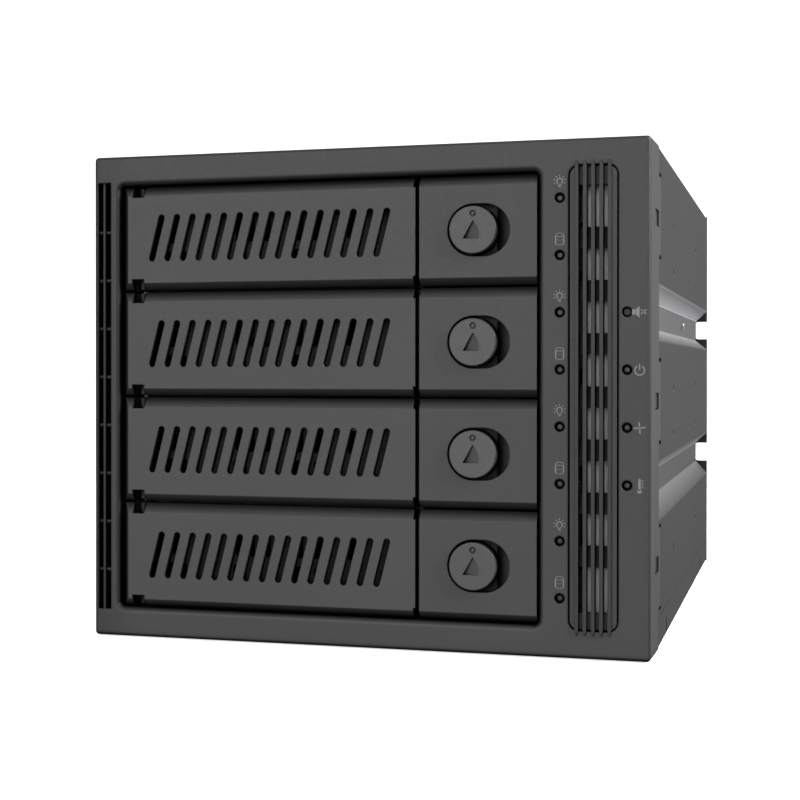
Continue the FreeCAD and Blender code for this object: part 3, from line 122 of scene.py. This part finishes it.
def maths(nt, op, a, b):
    m = nt.nodes.new("ShaderNodeMath")
    m.operation = op
    for i, v in enumerate((a, b)):
        if isinstance(v, float):
            m.inputs[i].default_value = v
        else:
            nt.links.new(v, m.inputs[i])
    return m.outputs["Value"]


def split(nt, vec):
    sp = nt.nodes.new("ShaderNodeSeparateXYZ")
    nt.links.new(vec, sp.inputs["Vector"])
    return sp.outputs["X"], sp.outputs["Y"], sp.outputs["Z"]


def painted_edge_light(nt, normal, value, start=0.88, stop=0.99):
    """Painted light on edges: 1 on faces square to the part, the given value on bends, roundings and slopes; below 1
    paints shade, above 1 paints a highlight.
    """
    tr = nt.nodes.new("ShaderNodeVectorTransform")
    tr.vector_type = "NORMAL"
    tr.convert_from, tr.convert_to = "WORLD", "OBJECT"
    nt.links.new(normal, tr.inputs["Vector"])
    ab = nt.nodes.new("ShaderNodeVectorMath")
    ab.operation = "ABSOLUTE"
    nt.links.new(tr.outputs["Vector"], ab.inputs[0])
    x, y, z = split(nt, ab.outputs["Vector"])
    return remap(nt, maths(nt, "MAXIMUM", maths(nt, "MAXIMUM", x, y), z), start, stop, value, 1.0)


def surface(name, color, rough, vary=0.06, rvary=0.05, metallic=0.0, spec=0.5, edge=0.3,
            grain=1800.0, grain_mm=0.012, patch=22.0, stretch=None, coat=0.0,
            crevice_shade_floor=0.12, reach=4.0, edge_shade_or_highlight=None, tint=None):
    """A moulded, painted or plated surface: slow patches of tone, fine grain,
    softened edges, painted shade in crevices and, on request, painted shade or painted highlight on edges."""
    m, nt, bsdf, obj = new_mat(name)
    c = color if isinstance(color, tuple) else (color, color, color)
    slow = noise(nt, obj, patch, 3.0, 0.5, stretch)
    dark = tuple(v * (1 - vary) for v in c)
    light = tuple(min(1.0, v * (1 + vary)) for v in c)
    base = ramp(nt, slow, [(0.3, dark), (0.7, light)])
    fine = noise(nt, obj, grain, 2.0, 0.6, stretch)
    nt.links.new(span(nt, fine, rough - rvary, rough + rvary), bsdf.inputs["Roughness"])
    bsdf.inputs["Metallic"].default_value = metallic
    bsdf.inputs["Coat Weight"].default_value = coat
    bump = nt.nodes.new("ShaderNodeBump")
    bump.inputs["Strength"].default_value = 0.6
    bump.inputs["Distance"].default_value = grain_mm * MM
    nt.links.new(fine, bump.inputs["Height"])
    factor = None
    if edge:
        bev = nt.nodes.new("ShaderNodeBevel")
        bev.samples = 6
        bev.inputs["Radius"].default_value = edge * MM
        nt.links.new(bev.outputs["Normal"], bump.inputs["Normal"])
        # Painted shade or painted highlight on bends and roundings, found from the bevelled normal.
        if edge_shade_or_highlight is not None:
            factor = painted_edge_light(nt, bev.outputs["Normal"], edge_shade_or_highlight)
    nt.links.new(bump.outputs["Normal"], bsdf.inputs["Normal"])
    if tint is not None:
        t = tint(nt, obj)
        factor = t if factor is None else maths(nt, "MULTIPLY", factor, t)
    # Painted shade: the ambient occlusion factor darkens the base colour and the specular in crevices, gaps and
    # recesses.
    ao = nt.nodes.new("ShaderNodeAmbientOcclusion")
    ao.samples = 6
    ao.inputs["Distance"].default_value = reach * MM
    painted_crevice_shade = remap(nt, ao.outputs["AO"], 0.12, 0.75, crevice_shade_floor, 1.0)
    factor = painted_crevice_shade if factor is None else maths(nt, "MULTIPLY", factor, painted_crevice_shade)
    mul = nt.nodes.new("ShaderNodeVectorMath")
    mul.operation = "SCALE"
    nt.links.new(base, mul.inputs[0])
    nt.links.new(factor, mul.inputs["Scale"])
    nt.links.new(mul.outputs["Vector"], bsdf.inputs["Base Color"])
    nt.links.new(maths(nt, "MULTIPLY", painted_crevice_shade, spec), bsdf.inputs["Specular IOR Level"])
    return m


def painted_light_level(nt, z):
    """Painted light on the front: lighter towards the bottom and darker towards the top, evening out the tone from
    bottom to top.
    """
    return remap(nt, z, 0.015, 0.112, 1.15, 0.92)


# Painted light: the bottom-to-top painted light level alone.
def painted_light_tint(nt, obj):
    return painted_light_level(nt, split(nt, obj)[2])


def depth_painted_shade(nt, obj):
    """Painted shade: duller with depth behind the front face, where gaps and recesses between parts lie in shade, times
    the painted light level.
    """
    x, y, z = split(nt, obj)
    return maths(nt, "MULTIPLY", painted_light_level(nt, z), remap(nt, y, (FRONT + 0.15) * MM, (FRONT + 2.1) * MM, 1.0, 0.07))


def grille_ribs_and_light(nt, obj):
    """The proud ribs of the grille are darker than the insert, times the painted light level from bottom to top."""
    x, y, z = split(nt, obj)
    return maths(nt, "MULTIPLY", painted_light_level(nt, z), remap(nt, y, (FRONT - 0.30) * MM, (FRONT - 0.05) * MM, 0.68, 1.0))


# Painted light on the buttons: lighter towards the bottom and darker towards the top.
def button_painted_light(nt, obj):
    return remap(nt, split(nt, obj)[2], 0.015, 0.112, 1.38, 0.78)


# Painted shade: the mute button darkens with depth behind the front face, as its recess lies in shade.
def mute_depth_shade(nt, obj):
    return remap(nt, split(nt, obj)[1], (FRONT + 0.85) * MM, (FRONT + 1.3) * MM, 1.0, 0.05)


def lamp_tint(nt, obj):
    """The end of a light pipe: dark, with a small clear spot in the middle."""
    x, y, z = split(nt, obj)
    row = maths(nt, "ADD", maths(nt, "DIVIDE", maths(nt, "SUBTRACT", z, (MID + 7.05) * MM), 13.99 * MM), 20.5)
    dz = maths(nt, "MULTIPLY", maths(nt, "SUBTRACT", maths(nt, "FRACT", row, 0.0), 0.5), 13.99)
    dx1 = maths(nt, "ABSOLUTE", maths(nt, "DIVIDE", maths(nt, "SUBTRACT", x, 51.1 * MM), MM), 0.0)
    dx2 = maths(nt, "ABSOLUTE", maths(nt, "DIVIDE", maths(nt, "SUBTRACT", x, 67.4 * MM), MM), 0.0)
    dx = maths(nt, "MINIMUM", dx1, dx2)
    rr = maths(nt, "SQRT", maths(nt, "ADD", maths(nt, "MULTIPLY", dx, dx), maths(nt, "MULTIPLY", dz, dz)), 0.0)
    return remap(nt, rr, 0.30, 0.62, 1.0, 0.12)


def bezel_painted_light(nt, obj):
    """Painted light and shade: duller low down on the sides and towards the left, painted shade with depth inside the
    openings and along the rounded front rim, and the painted light level from bottom to top on the front.
    """
    x, y, z = split(nt, obj)
    ax = maths(nt, "ABSOLUTE", x, 0.0)
    az = maths(nt, "ABSOLUTE", maths(nt, "SUBTRACT", z, MID * MM), 0.0)
    outside = maths(nt, "MAXIMUM", remap(nt, ax, 0.0722, 0.0726, 0.0, 1.0), remap(nt, az, 0.0624, 0.0629, 0.0, 1.0))
    depth = remap(nt, y, (FRONT + 0.15) * MM, (FRONT + 1.6) * MM, 1.0, 0.17)
    rim = maths(nt, "MAXIMUM", remap(nt, ax, 0.0724, 0.0728, 0.0, 1.0), remap(nt, az, 0.0628, 0.0632, 0.0, 1.0))
    rim = maths(nt, "MULTIPLY", rim, remap(nt, y, (FRONT + 0.3) * MM, (FRONT + 0.9) * MM, 0.75, 0.0))
    left = remap(nt, x, -0.074, -0.060, 0.58, 1.0)
    side = maths(nt, "MULTIPLY", remap(nt, ax, 0.0728, 0.0731, 0.0, 1.0), remap(nt, y, (FRONT + 0.8) * MM, (FRONT + 1.3) * MM, 0.0, 1.0))
    front_tone = maths(nt, "MULTIPLY", maths(nt, "MULTIPLY", painted_light_level(nt, z), left), maths(nt, "SUBTRACT", 1.0, side))
    side_tone = maths(nt, "MULTIPLY", remap(nt, z, 0.010, 0.055, 0.72, 1.06), side)
    tone = maths(nt, "MULTIPLY", maths(nt, "ADD", front_tone, side_tone), maths(nt, "SUBTRACT", 1.0, rim))
    return maths(nt, "MULTIPLY", tone, maths(nt, "MAXIMUM", outside, depth))


def baffle_painted_highlight(nt, obj):
    """Painted highlight: the plate behind the grille is bright only along the strips that catch the light, dark
    between.
    """
    x, y, z = split(nt, obj)
    saw = maths(nt, "FRACT", maths(nt, "DIVIDE", maths(nt, "SUBTRACT", x, 57.22 * MM), 0.00203), 0.0)
    return remap(nt, saw, 0.42, 0.47, 1.0, 0.12)



def cover_painted_light(nt, obj):
    """Painted light on the cover's paint: a painted highlight in the pressed channels, brighter on slopes that face
    down and duller on slopes that face up, and darker low down.
    """
    x, y, z = split(nt, obj)
    ax = maths(nt, "ABSOLUTE", x, 0.0)
    pressed = remap(nt, ax, 0.0698, 0.0733, 1.0, 0.0)
    inside = maths(nt, "ADD", maths(nt, "MULTIPLY", pressed, remap(nt, z, 0.048, 0.080, 1.5, 2.35)), 1.0)
    geo = nt.nodes.new("ShaderNodeNewGeometry")
    nx, ny, nz = split(nt, geo.outputs["Normal"])
    slope = maths(nt, "MULTIPLY", remap(nt, nz, -0.5, -0.15, 1.9, 1.0), remap(nt, nz, 0.15, 0.5, 1.0, 0.72))
    slope = maths(nt, "MAXIMUM", slope, remap(nt, ax, 0.0725, 0.0700, 0.3, 0.3))
    low = remap(nt, z, 0.010, 0.060, 0.53, 1.03)
    return maths(nt, "MULTIPLY", maths(nt, "MULTIPLY", inside, slope), low)


M = {}
# Painted shade on the roundings of bezel, grille, trays, levers and buttons; painted highlight on the bends of the
# black sheet.
M["bezel_plastic"] = surface("bezel_plastic", (0.0345, 0.0348, 0.0359), 0.54, spec=0.42, edge=0.6, edge_shade_or_highlight=0.35, tint=bezel_painted_light)
M["grille_plastic"] = surface("grille_plastic", (0.031, 0.0313, 0.0322), 0.5, spec=0.36, edge=0.15, edge_shade_or_highlight=0.5, tint=grille_ribs_and_light)
M["tray_plastic"] = surface("tray_plastic", (0.0350, 0.0353, 0.0364), 0.52, spec=0.42, edge=0.35, edge_shade_or_highlight=0.7, reach=5.0, tint=depth_painted_shade)
M["lever_plastic"] = surface("lever_plastic", (0.0400, 0.0403, 0.0416), 0.52, spec=0.42, edge=0.30, edge_shade_or_highlight=0.7, reach=5.0, tint=depth_painted_shade)
M["button_plastic"] = surface("button_plastic", (0.0415, 0.0419, 0.0431), 0.44, spec=0.42, edge=0.2, coat=0.05, edge_shade_or_highlight=0.6, tint=button_painted_light)
M["black_sheet"] = surface("black_sheet", (0.0205, 0.0207, 0.0213), 0.40, spec=0.3, grain=900.0, grain_mm=0.02, edge=0.3, edge_shade_or_highlight=3.4, tint=cover_painted_light)
# Painted shade: the rear panel's copy of the sheet is darkened strongly and widely in its hollows.
M["rear_sheet"] = surface("rear_sheet", (0.022, 0.0222, 0.0228), 0.45, spec=0.3, grain=900.0, grain_mm=0.02, edge=0.2, crevice_shade_floor=0.05, reach=9.0)
M["carrier_sheet"] = surface("carrier_sheet", (0.03, 0.0303, 0.0312), 0.45, grain=1100.0, grain_mm=0.015, edge=0.2)
M["guide_sheet"] = surface("guide_sheet", (0.33, 0.335, 0.34), 0.36, vary=0.1, metallic=0.9, patch=60.0,
                           grain=500.0, grain_mm=0.004, edge=0.15, stretch=(1.0, 0.12, 1.0))
M["bright_sheet"] = surface("bright_sheet", (0.62, 0.625, 0.63), 0.5, vary=0.08, metallic=0.15, patch=80.0, crevice_shade_floor=0.5,
                            grain=700.0, grain_mm=0.003, edge=0.0, stretch=(1.0, 1.0, 0.15), tint=baffle_painted_highlight)
M["bright_rivet"] = surface("bright_rivet", (0.82, 0.82, 0.84), 0.25, vary=0.05, metallic=1.0, grain=2500.0, grain_mm=0.004, edge=0.2)
M["zinc_steel"] = surface("zinc_steel", (0.55, 0.55, 0.56), 0.3, vary=0.08, metallic=1.0, grain=2000.0, grain_mm=0.004, edge=0.12)
M["pin_steel"] = surface("pin_steel", (0.5, 0.5, 0.51), 0.28, metallic=1.0, grain=2500.0, grain_mm=0.003, edge=0.1)
M["spring_steel"] = surface("spring_steel", (0.45, 0.45, 0.46), 0.3, metallic=1.0, grain=2500.0, grain_mm=0.003, edge=0.0)
M["black_fastener"] = surface("black_fastener", (0.035, 0.035, 0.037), 0.36, metallic=0.5, grain=1800.0, grain_mm=0.006, edge=0.15)
M["socket_plastic"] = surface("socket_plastic", (0.02, 0.02, 0.021), 0.45, edge=0.12)
M["inlet_plastic"] = surface("inlet_plastic", (0.62, 0.6, 0.54), 0.45, edge=0.15)
M["fan_plastic"] = surface("fan_plastic", (0.022, 0.022, 0.023), 0.42, edge=0.3)
M["ribbon_sleeve"] = surface("ribbon_sleeve", (0.28, 0.28, 0.29), 0.5, edge=0.1, stretch=(1.0, 0.2, 14.0), patch=60.0, vary=0.2)
M["wire_sleeve"] = surface("wire_sleeve", (0.03, 0.03, 0.032), 0.55, edge=0.0)
M["gold"] = surface("gold", (0.72, 0.52, 0.2), 0.3, metallic=1.0, grain=2500.0, grain_mm=0.002, edge=0.05)
M["chip"] = surface("chip", (0.02, 0.02, 0.022), 0.5, edge=0.08)
M["icon_ink"] = surface("icon_ink", (0.20, 0.20, 0.204), 0.6, edge=0.0, grain=4000.0, grain_mm=0.002)
M["steel_pin"] = surface("steel_pin", (0.7, 0.69, 0.66), 0.3, metallic=1.0, grain=2500.0, grain_mm=0.002, edge=0.05)


M["light_pipe"] = surface("light_pipe", (0.050, 0.051, 0.051), 0.3, vary=0.2, patch=900.0, spec=0.22, edge=0.4,
                          grain=2500.0, grain_mm=0.003, reach=2.2, crevice_shade_floor=0.1, tint=lamp_tint)
M["mute_plastic"] = surface("mute_plastic", (0.036, 0.0363, 0.0373), 0.5, spec=0.3, edge=0.3, reach=3.0, crevice_shade_floor=0.05, tint=mute_depth_shade)


def board():
    m, nt, bsdf, obj = new_mat("circuit_board")
    mp = nt.nodes.new("ShaderNodeMapping")
    mp.inputs["Scale"].default_value = (260.0, 40.0, 260.0)
    nt.links.new(obj, mp.inputs["Vector"])
    v = nt.nodes.new("ShaderNodeTexVoronoi")
    v.distance = "CHEBYCHEV"
    v.feature = "F1"
    v.inputs["Scale"].default_value = 1.0
    nt.links.new(mp.outputs["Vector"], v.inputs["Vector"])
    tracks = ramp(nt, v.outputs["Distance"], [(0.30, (0.012, 0.075, 0.03)), (0.42, (0.018, 0.115, 0.045)), (0.6, (0.014, 0.09, 0.036))])
    nt.links.new(tracks, bsdf.inputs["Base Color"])
    n = noise(nt, obj, 1500.0, 2.0)
    nt.links.new(span(nt, n, 0.28, 0.4), bsdf.inputs["Roughness"])
    bump = nt.nodes.new("ShaderNodeBump")
    bump.inputs["Strength"].default_value = 0.4
    bump.inputs["Distance"].default_value = 0.00002
    nt.links.new(v.outputs["Distance"], bump.inputs["Height"])
    nt.links.new(bump.outputs["Normal"], bsdf.inputs["Normal"])
    return m


M["circuit_board"] = board()


def capacitor():
    m, nt, bsdf, obj = new_mat("capacitor_can")
    n = noise(nt, obj, 220.0, 2.0)
    nt.links.new(ramp(nt, n, [(0.3, (0.012, 0.014, 0.03)), (0.7, (0.02, 0.024, 0.05))]), bsdf.inputs["Base Color"])
    bsdf.inputs["Roughness"].default_value = 0.3
    bev = nt.nodes.new("ShaderNodeBevel")
    bev.samples = 4
    bev.inputs["Radius"].default_value = 0.4 * MM
    nt.links.new(bev.outputs["Normal"], bsdf.inputs["Normal"])
    return m


M["capacitor_can"] = capacitor()

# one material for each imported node
slot_of = {s["node"]: s["material_slot"] for s in frame["record"]["subparts"]}
for name, o in nodes.items():
    slot = slot_of[name]
    # The rear panel and the mute button take their own copies of a material, with painted shade.
    m = M[{"rear_panel": "rear_sheet", "mute_button": "mute_plastic"}.get(name, slot)]
    o.data.materials.clear()
    o.data.materials.append(m)


# ------------------------------------------------------------------- pieces
def mesh_from(name, polys, y0, y1, mat, body, origin=(0, 0)):
    """Thin flat pieces: polygons drawn in x and z (mm), from y0 to y1."""
    bm = bmesh.new()
    for poly in polys:
        front = [bm.verts.new(P(origin[0] + x, y0, origin[1] + z)) for x, z in poly]
        back = [bm.verts.new(P(origin[0] + x, y1, origin[1] + z)) for x, z in poly]
        n = len(poly)
        bm.faces.new(front)
        bm.faces.new(list(reversed(back)))
        for i in range(n):
            bm.faces.new([front[(i + 1) % n], front[i], back[i], back[(i + 1) % n]])
    bmesh.ops.recalc_face_normals(bm, faces=bm.faces)
    me = bpy.data.meshes.new(name)
    bm.to_mesh(me)
    bm.free()
    o = bpy.data.objects.new(name, me)
    bpy.context.scene.collection.objects.link(o)
    me.materials.append(mat)
    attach(o, body)
    return o


def arc_band(cx, cz, r, w, a0, a1, n=14, sx=1.0, sz=1.0):
    """Quads along an arc of a ring."""
    out = []
    for i in range(n):
        p, q = (math.radians(a0 + (a1 - a0) * (i + k) / n) for k in (0, 1))
        quad = []
        for ang, rr in ((p, r - w / 2), (p, r + w / 2), (q, r + w / 2), (q, r - w / 2)):
            quad.append((cx + rr * sx * math.cos(ang), cz + rr * sz * math.sin(ang)))
        out.append(quad)
    return out


def bar(x0, z0, x1, z1, w):
    dx, dz = x1 - x0, z1 - z0
    L = math.hypot(dx, dz)
    nx, nz = -dz / L * w / 2, dx / L * w / 2
    return [(x0 + nx, z0 + nz), (x1 + nx, z1 + nz), (x1 - nx, z1 - nz), (x0 - nx, z0 - nz)]


def bulb():
    p = arc_band(0, 0.12, 0.68, 0.24, -50, 230, 18)
    p.append(bar(-0.42, -0.5, -0.3, -0.9, 0.22))
    p.append(bar(0.42, -0.5, 0.3, -0.9, 0.22))
    p.append([(-0.38, -1.0), (0.38, -1.0), (0.38, -0.78), (-0.38, -0.78)])
    p.append([(-0.28, -1.34), (0.28, -1.34), (0.28, -1.12), (-0.28, -1.12)])
    for a in (-22, 15, 52, 90, 128, 165, 202):
        c, s = math.cos(math.radians(a)), math.sin(math.radians(a))
        p.append(bar(1.08 * c, 0.12 + 1.08 * s, 1.5 * c, 0.12 + 1.5 * s, 0.2))
    return p


def disk():
    p = arc_band(0, 1.0, 1.0, 0.27, 0, 360, 24, 0.98, 0.42)
    p += arc_band(0, -1.05, 1.0, 0.27, 180, 360, 14, 0.98, 0.42)
    p.append([(-1.12, -1.08), (-0.85, -1.08), (-0.85, 1.02), (-1.12, 1.02)])
    p.append([(0.85, -1.08), (1.12, -1.08), (1.12, 1.02), (0.85, 1.02)])
    p += arc_band(0, -0.02, 0.78, 0.12, 200, 340, 8, 0.98, 0.42)
    return p


def speaker():
    p = [[(-1.8, -0.62), (-1.05, -0.62), (-1.05, 0.62), (-1.8, 0.62)],
         [(-0.92, -0.62), (-0.02, -1.42), (-0.02, 1.42), (-0.92, 0.62)],
         bar(0.3, 0.55, 1.55, -0.55, 0.3), bar(0.3, -0.55, 1.55, 0.55, 0.3)]
    return p


def power():
    return arc_band(0, -0.12, 1.15, 0.3, 120, 420, 26) + [[(-0.15, 0.0), (0.15, 0.0), (0.15, 1.45), (-0.15, 1.45)]]


def fan_icon():
    p = []
    for k in range(4):
        a = math.radians(90 * k + 8)
        c, s = math.cos(a), math.sin(a)
        blade = [(0.0, -0.1), (0.5, -0.2), (1.1, -0.26), (1.48, -0.1), (1.5, 0.06), (1.0, 0.12), (0.5, 0.16), (0.0, 0.12)]
        p.append([(x * c - z * s, x * s + z * c) for x, z in blade])
    return p


def thermometer():
    p = [[(-0.3, -1.1), (0.3, -1.1), (0.3, 1.45), (0.12, 1.75), (-0.12, 1.75), (-0.3, 1.45)]]
    p.append([(0.58 * math.cos(math.radians(30 * i)), -1.35 + 0.52 * math.sin(math.radians(30 * i))) for i in range(12)])
    for i in range(4):
        z = 1.25 - 0.55 * i
        p.append([(0.45, z - 0.09), (1.0, z - 0.09), (1.0, z + 0.09), (0.45, z + 0.09)])
    return p


for i in range(8):
    z = 49.05 - 13.99 * i + 3.95
    if i % 2 == 0:
        mesh_from("icon_activity_%d" % (i // 2 + 1), bulb(), -0.025, 0.03, M["icon_ink"], "cage", (51.0, z))
    else:
        mesh_from("icon_disk_%d" % (i // 2 + 1), disk(), -0.025, 0.03, M["icon_ink"], "cage", (51.0, z))
for name, fn, z in (("icon_mute", speaker, 21.0), ("icon_power", power, 7.01), ("icon_fan", fan_icon, -6.98), ("icon_heat", thermometer, -20.97)):
    mesh_from(name, fn(), -0.025, 0.03, M["icon_ink"], "cage", (70.3, z))


def boxes(name, items, mat, body):
    """Several small blocks, each (x0, x1, y0, y1, z0, z1) in mm, as one mesh."""
    bm = bmesh.new()
    for x0, x1, y0, y1, z0, z1 in items:
        c = [bm.verts.new(P(x, y, z)) for x in (x0, x1) for y in (y0, y1) for z in (z0, z1)]
        for f in ((0, 1, 3, 2), (4, 6, 7, 5), (0, 4, 5, 1), (2, 3, 7, 6), (0, 2, 6, 4), (1, 5, 7, 3)):
            bm.faces.new([c[k] for k in f])
    bmesh.ops.recalc_face_normals(bm, faces=bm.faces)
    me = bpy.data.meshes.new(name)
    bm.to_mesh(me)
    bm.free()
    o = bpy.data.objects.new(name, me)
    bpy.context.scene.collection.objects.link(o)
    me.materials.append(mat)
    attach(o, body)
    return o


# contacts in the drive sockets and the data ports
tongues, fingers, dt, df = [], [], [], []
for k in BAYS:
    z = PITCH * k
    tongues.append((-7.6, 3.8, 157.0, 160.5, z - 7.1, z - 6.1))
    tongues.append((6.6, 30.6, 157.0, 160.5, z - 7.1, z - 6.1))
    for i in range(7):
        x = -6.6 + 1.27 * i
        fingers.append((x, x + 0.6, 156.9, 160.4, z - 6.12, z - 5.95))
    for i in range(15):
        x = 8.6 + 1.27 * i
        fingers.append((x, x + 0.6, 156.9, 160.4, z - 6.12, z - 5.95))
    dt.append((-54.0, -44.5, 165.8, 171.6, z - 7.2, z - 6.1))
    for i in range(7):
        x = -53.1 + 1.27 * i
        df.append((x, x + 0.6, 166.5, 171.7, z - 6.12, z - 5.95))
boxes("socket_tongues", tongues, M["socket_plastic"], "cage")
boxes("socket_contacts", fingers, M["gold"], "cage")
boxes("port_tongues", dt, M["socket_plastic"], "cage")
boxes("port_contacts", df, M["gold"], "cage")

# parts soldered on the boards
chips = [(-8.0, 1.0, 163.9, 165.2, -4.5, 4.5), (46.5, 52.5, 163.9, 165.3, 12.0, 18.0), (46.5, 52.5, 163.9, 165.3, -18.0, -12.0),
         (-3.0, 2.0, 163.9, 165.1, 33.0, 37.0)]
small = []
for i in range(26):
    x, z = random.uniform(44.5, 60.0), random.uniform(-55.0, 44.0)
    if all(not (c[0] - 1.5 < x < c[1] + 0.5 and c[4] - 1.5 < z < c[5] + 0.5) for c in chips):
        small.append((x, x + 1.6, 163.9, 164.6, z, z + 0.8))
boxes("backplane_chips", chips, M["chip"], "cage")
boxes("backplane_passives", small, M["bright_sheet"], "cage")
lampc = []
for i in range(8):
    z = 49.05 - 13.99 * i
    lampc.append((48.9, 50.5, 11.1, 11.7, z - 4.6, z - 3.8))
boxes("lamp_board_resistors", lampc, M["chip"], "cage")


# springs: true coils in place of the imported ones
def coil(name, x, y, z, rad, wire, length, turns, mat, seg=28, ring=8):
    bm = bmesh.new()
    n = int(turns * seg)
    rows = []
    for i in range(n + 1):
        a = 2 * math.pi * i / seg
        t = i / n
        yy = length * t
        c = Vector((rad * math.cos(a), yy, rad * math.sin(a)))
        tangent = Vector((-math.sin(a) * rad, length / (turns * 2 * math.pi), math.cos(a) * rad)).normalized()
        nrm = Vector((math.cos(a), 0, math.sin(a)))
        bi = tangent.cross(nrm).normalized()
        rows.append([bm.verts.new(P(x, y, z) + (c + nrm * wire * math.cos(2 * math.pi * j / ring) + bi * wire * math.sin(2 * math.pi * j / ring)) * MM)
                     for j in range(ring)])
    for a, b in zip(rows, rows[1:]):
        for j in range(ring):
            bm.faces.new([a[j], a[(j + 1) % ring], b[(j + 1) % ring], b[j]])
    bm.faces.new(list(reversed(rows[0])))
    bm.faces.new(rows[-1])
    bmesh.ops.recalc_face_normals(bm, faces=bm.faces)
    for f in bm.faces:
        f.smooth = True
    me = bpy.data.meshes.new(name)
    bm.to_mesh(me)
    bm.free()
    o = bpy.data.objects.new(name, me)
    bpy.context.scene.collection.objects.link(o)
    me.materials.append(mat)
    return o


for n, k in enumerate(BAYS, start=1):
    z = PITCH * k
    s = coil("spring_coil_%d" % n, 29.55, 5.84, z, 3.0, 0.22, 4.25, 3.8, M["spring_steel"])
    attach(s, "tray_%d" % n)
    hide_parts("button_spring_%d" % n)
    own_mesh(s)


# -------------------------------------------------------------------- stage
def backdrop():
    bm = bmesh.new()
    prof = [(-3.0, 0.0), (0.9, 0.0)]
    for i in range(1, 17):
        a = math.pi / 2 * i / 16
        prof.append((0.9 + 1.2 * math.sin(a), 1.2 * (1 - math.cos(a))))
    prof.append((2.1, 4.0))
    left = [bm.verts.new((-4.5, y, z)) for y, z in prof]
    right = [bm.verts.new((4.5, y, z)) for y, z in prof]
    for i in range(len(prof) - 1):
        f = bm.faces.new([left[i], right[i], right[i + 1], left[i + 1]])
        f.smooth = True
    me = bpy.data.meshes.new("backdrop")
    bm.to_mesh(me)
    bm.free()
    o = bpy.data.objects.new("backdrop", me)
    bpy.context.scene.collection.objects.link(o)
    m, nt, bsdf, obj = new_mat("backdrop_paper")
    nt.links.new(ramp(nt, noise(nt, obj, 3.0, 2.0), [(0.3, 0.93), (0.7, 0.95)]), bsdf.inputs["Base Color"])
    bsdf.inputs["Roughness"].default_value = 0.9
    bsdf.inputs["Specular IOR Level"].default_value = 0.1
    bsdf.inputs["Emission Color"].default_value = (1, 1, 1, 1)
    bsdf.inputs["Emission Strength"].default_value = 0.65
    me.materials.append(m)
    o.visible_diffuse = False
    o.visible_glossy = False
    return o


backdrop()


def area(name, loc, target, size, size_y, energy, color=(1, 1, 1), spread=180):
    l = bpy.data.lights.new(name, "AREA")
    l.shape = "RECTANGLE"
    l.size, l.size_y = size, size_y
    l.energy = energy
    l.color = color
    l.spread = math.radians(spread)
    o = bpy.data.objects.new(name, l)
    bpy.context.scene.collection.objects.link(o)
    o.location = loc
    d = Vector(target) - Vector(loc)
    o.rotation_euler = d.to_track_quat("-Z", "Y").to_euler()
    return o


area("top_soft", (0.2, -0.2, 1.5), (0, 0, 0.05), 1.8, 1.8, 12.0)
area("right_soft", (0.75, -0.12, 0.48), (0.05, -0.02, 0.08), 0.5, 0.5, 17.0)
area("front_soft", (-0.5, -1.9, 0.45), (0, -0.1, 0.06), 1.6, 1.2, 26.0)

world = bpy.data.worlds.new("world")
bpy.context.scene.world = world
world.use_nodes = True
bg = world.node_tree.nodes["Background"]
bg.inputs["Color"].default_value = (1, 1, 1, 1)
bg.inputs["Strength"].default_value = 0.30

# ------------------------------------------------------------------- camera
cam = bpy.data.cameras.new("camera")
cam.sensor_fit = "HORIZONTAL"
cam.sensor_width = 36.0
cam.lens = 1597.98 * 36.0 / 800.0
cam.shift_x = 0.08375
cam.shift_y = -0.02664
cam.clip_start = 0.01
cam.clip_end = 30.0
cam.dof.use_dof = False
co = bpy.data.objects.new("camera", cam)
bpy.context.scene.collection.objects.link(co)
yaw, pitch = math.radians(16.5598), math.radians(0.3049)
co.location = P(109.213, -389.967, 6.94)
fw = Vector((-math.sin(yaw) * math.cos(pitch), math.cos(yaw) * math.cos(pitch), -math.sin(pitch)))
co.rotation_euler = fw.to_track_quat("-Z", "Y").to_euler()
sc = bpy.context.scene
sc.camera = co
sc.view_settings.view_transform = "Standard"
sc.view_settings.look = "None"
sc.view_settings.exposure = 0.0
sc.view_settings.gamma = 1.0
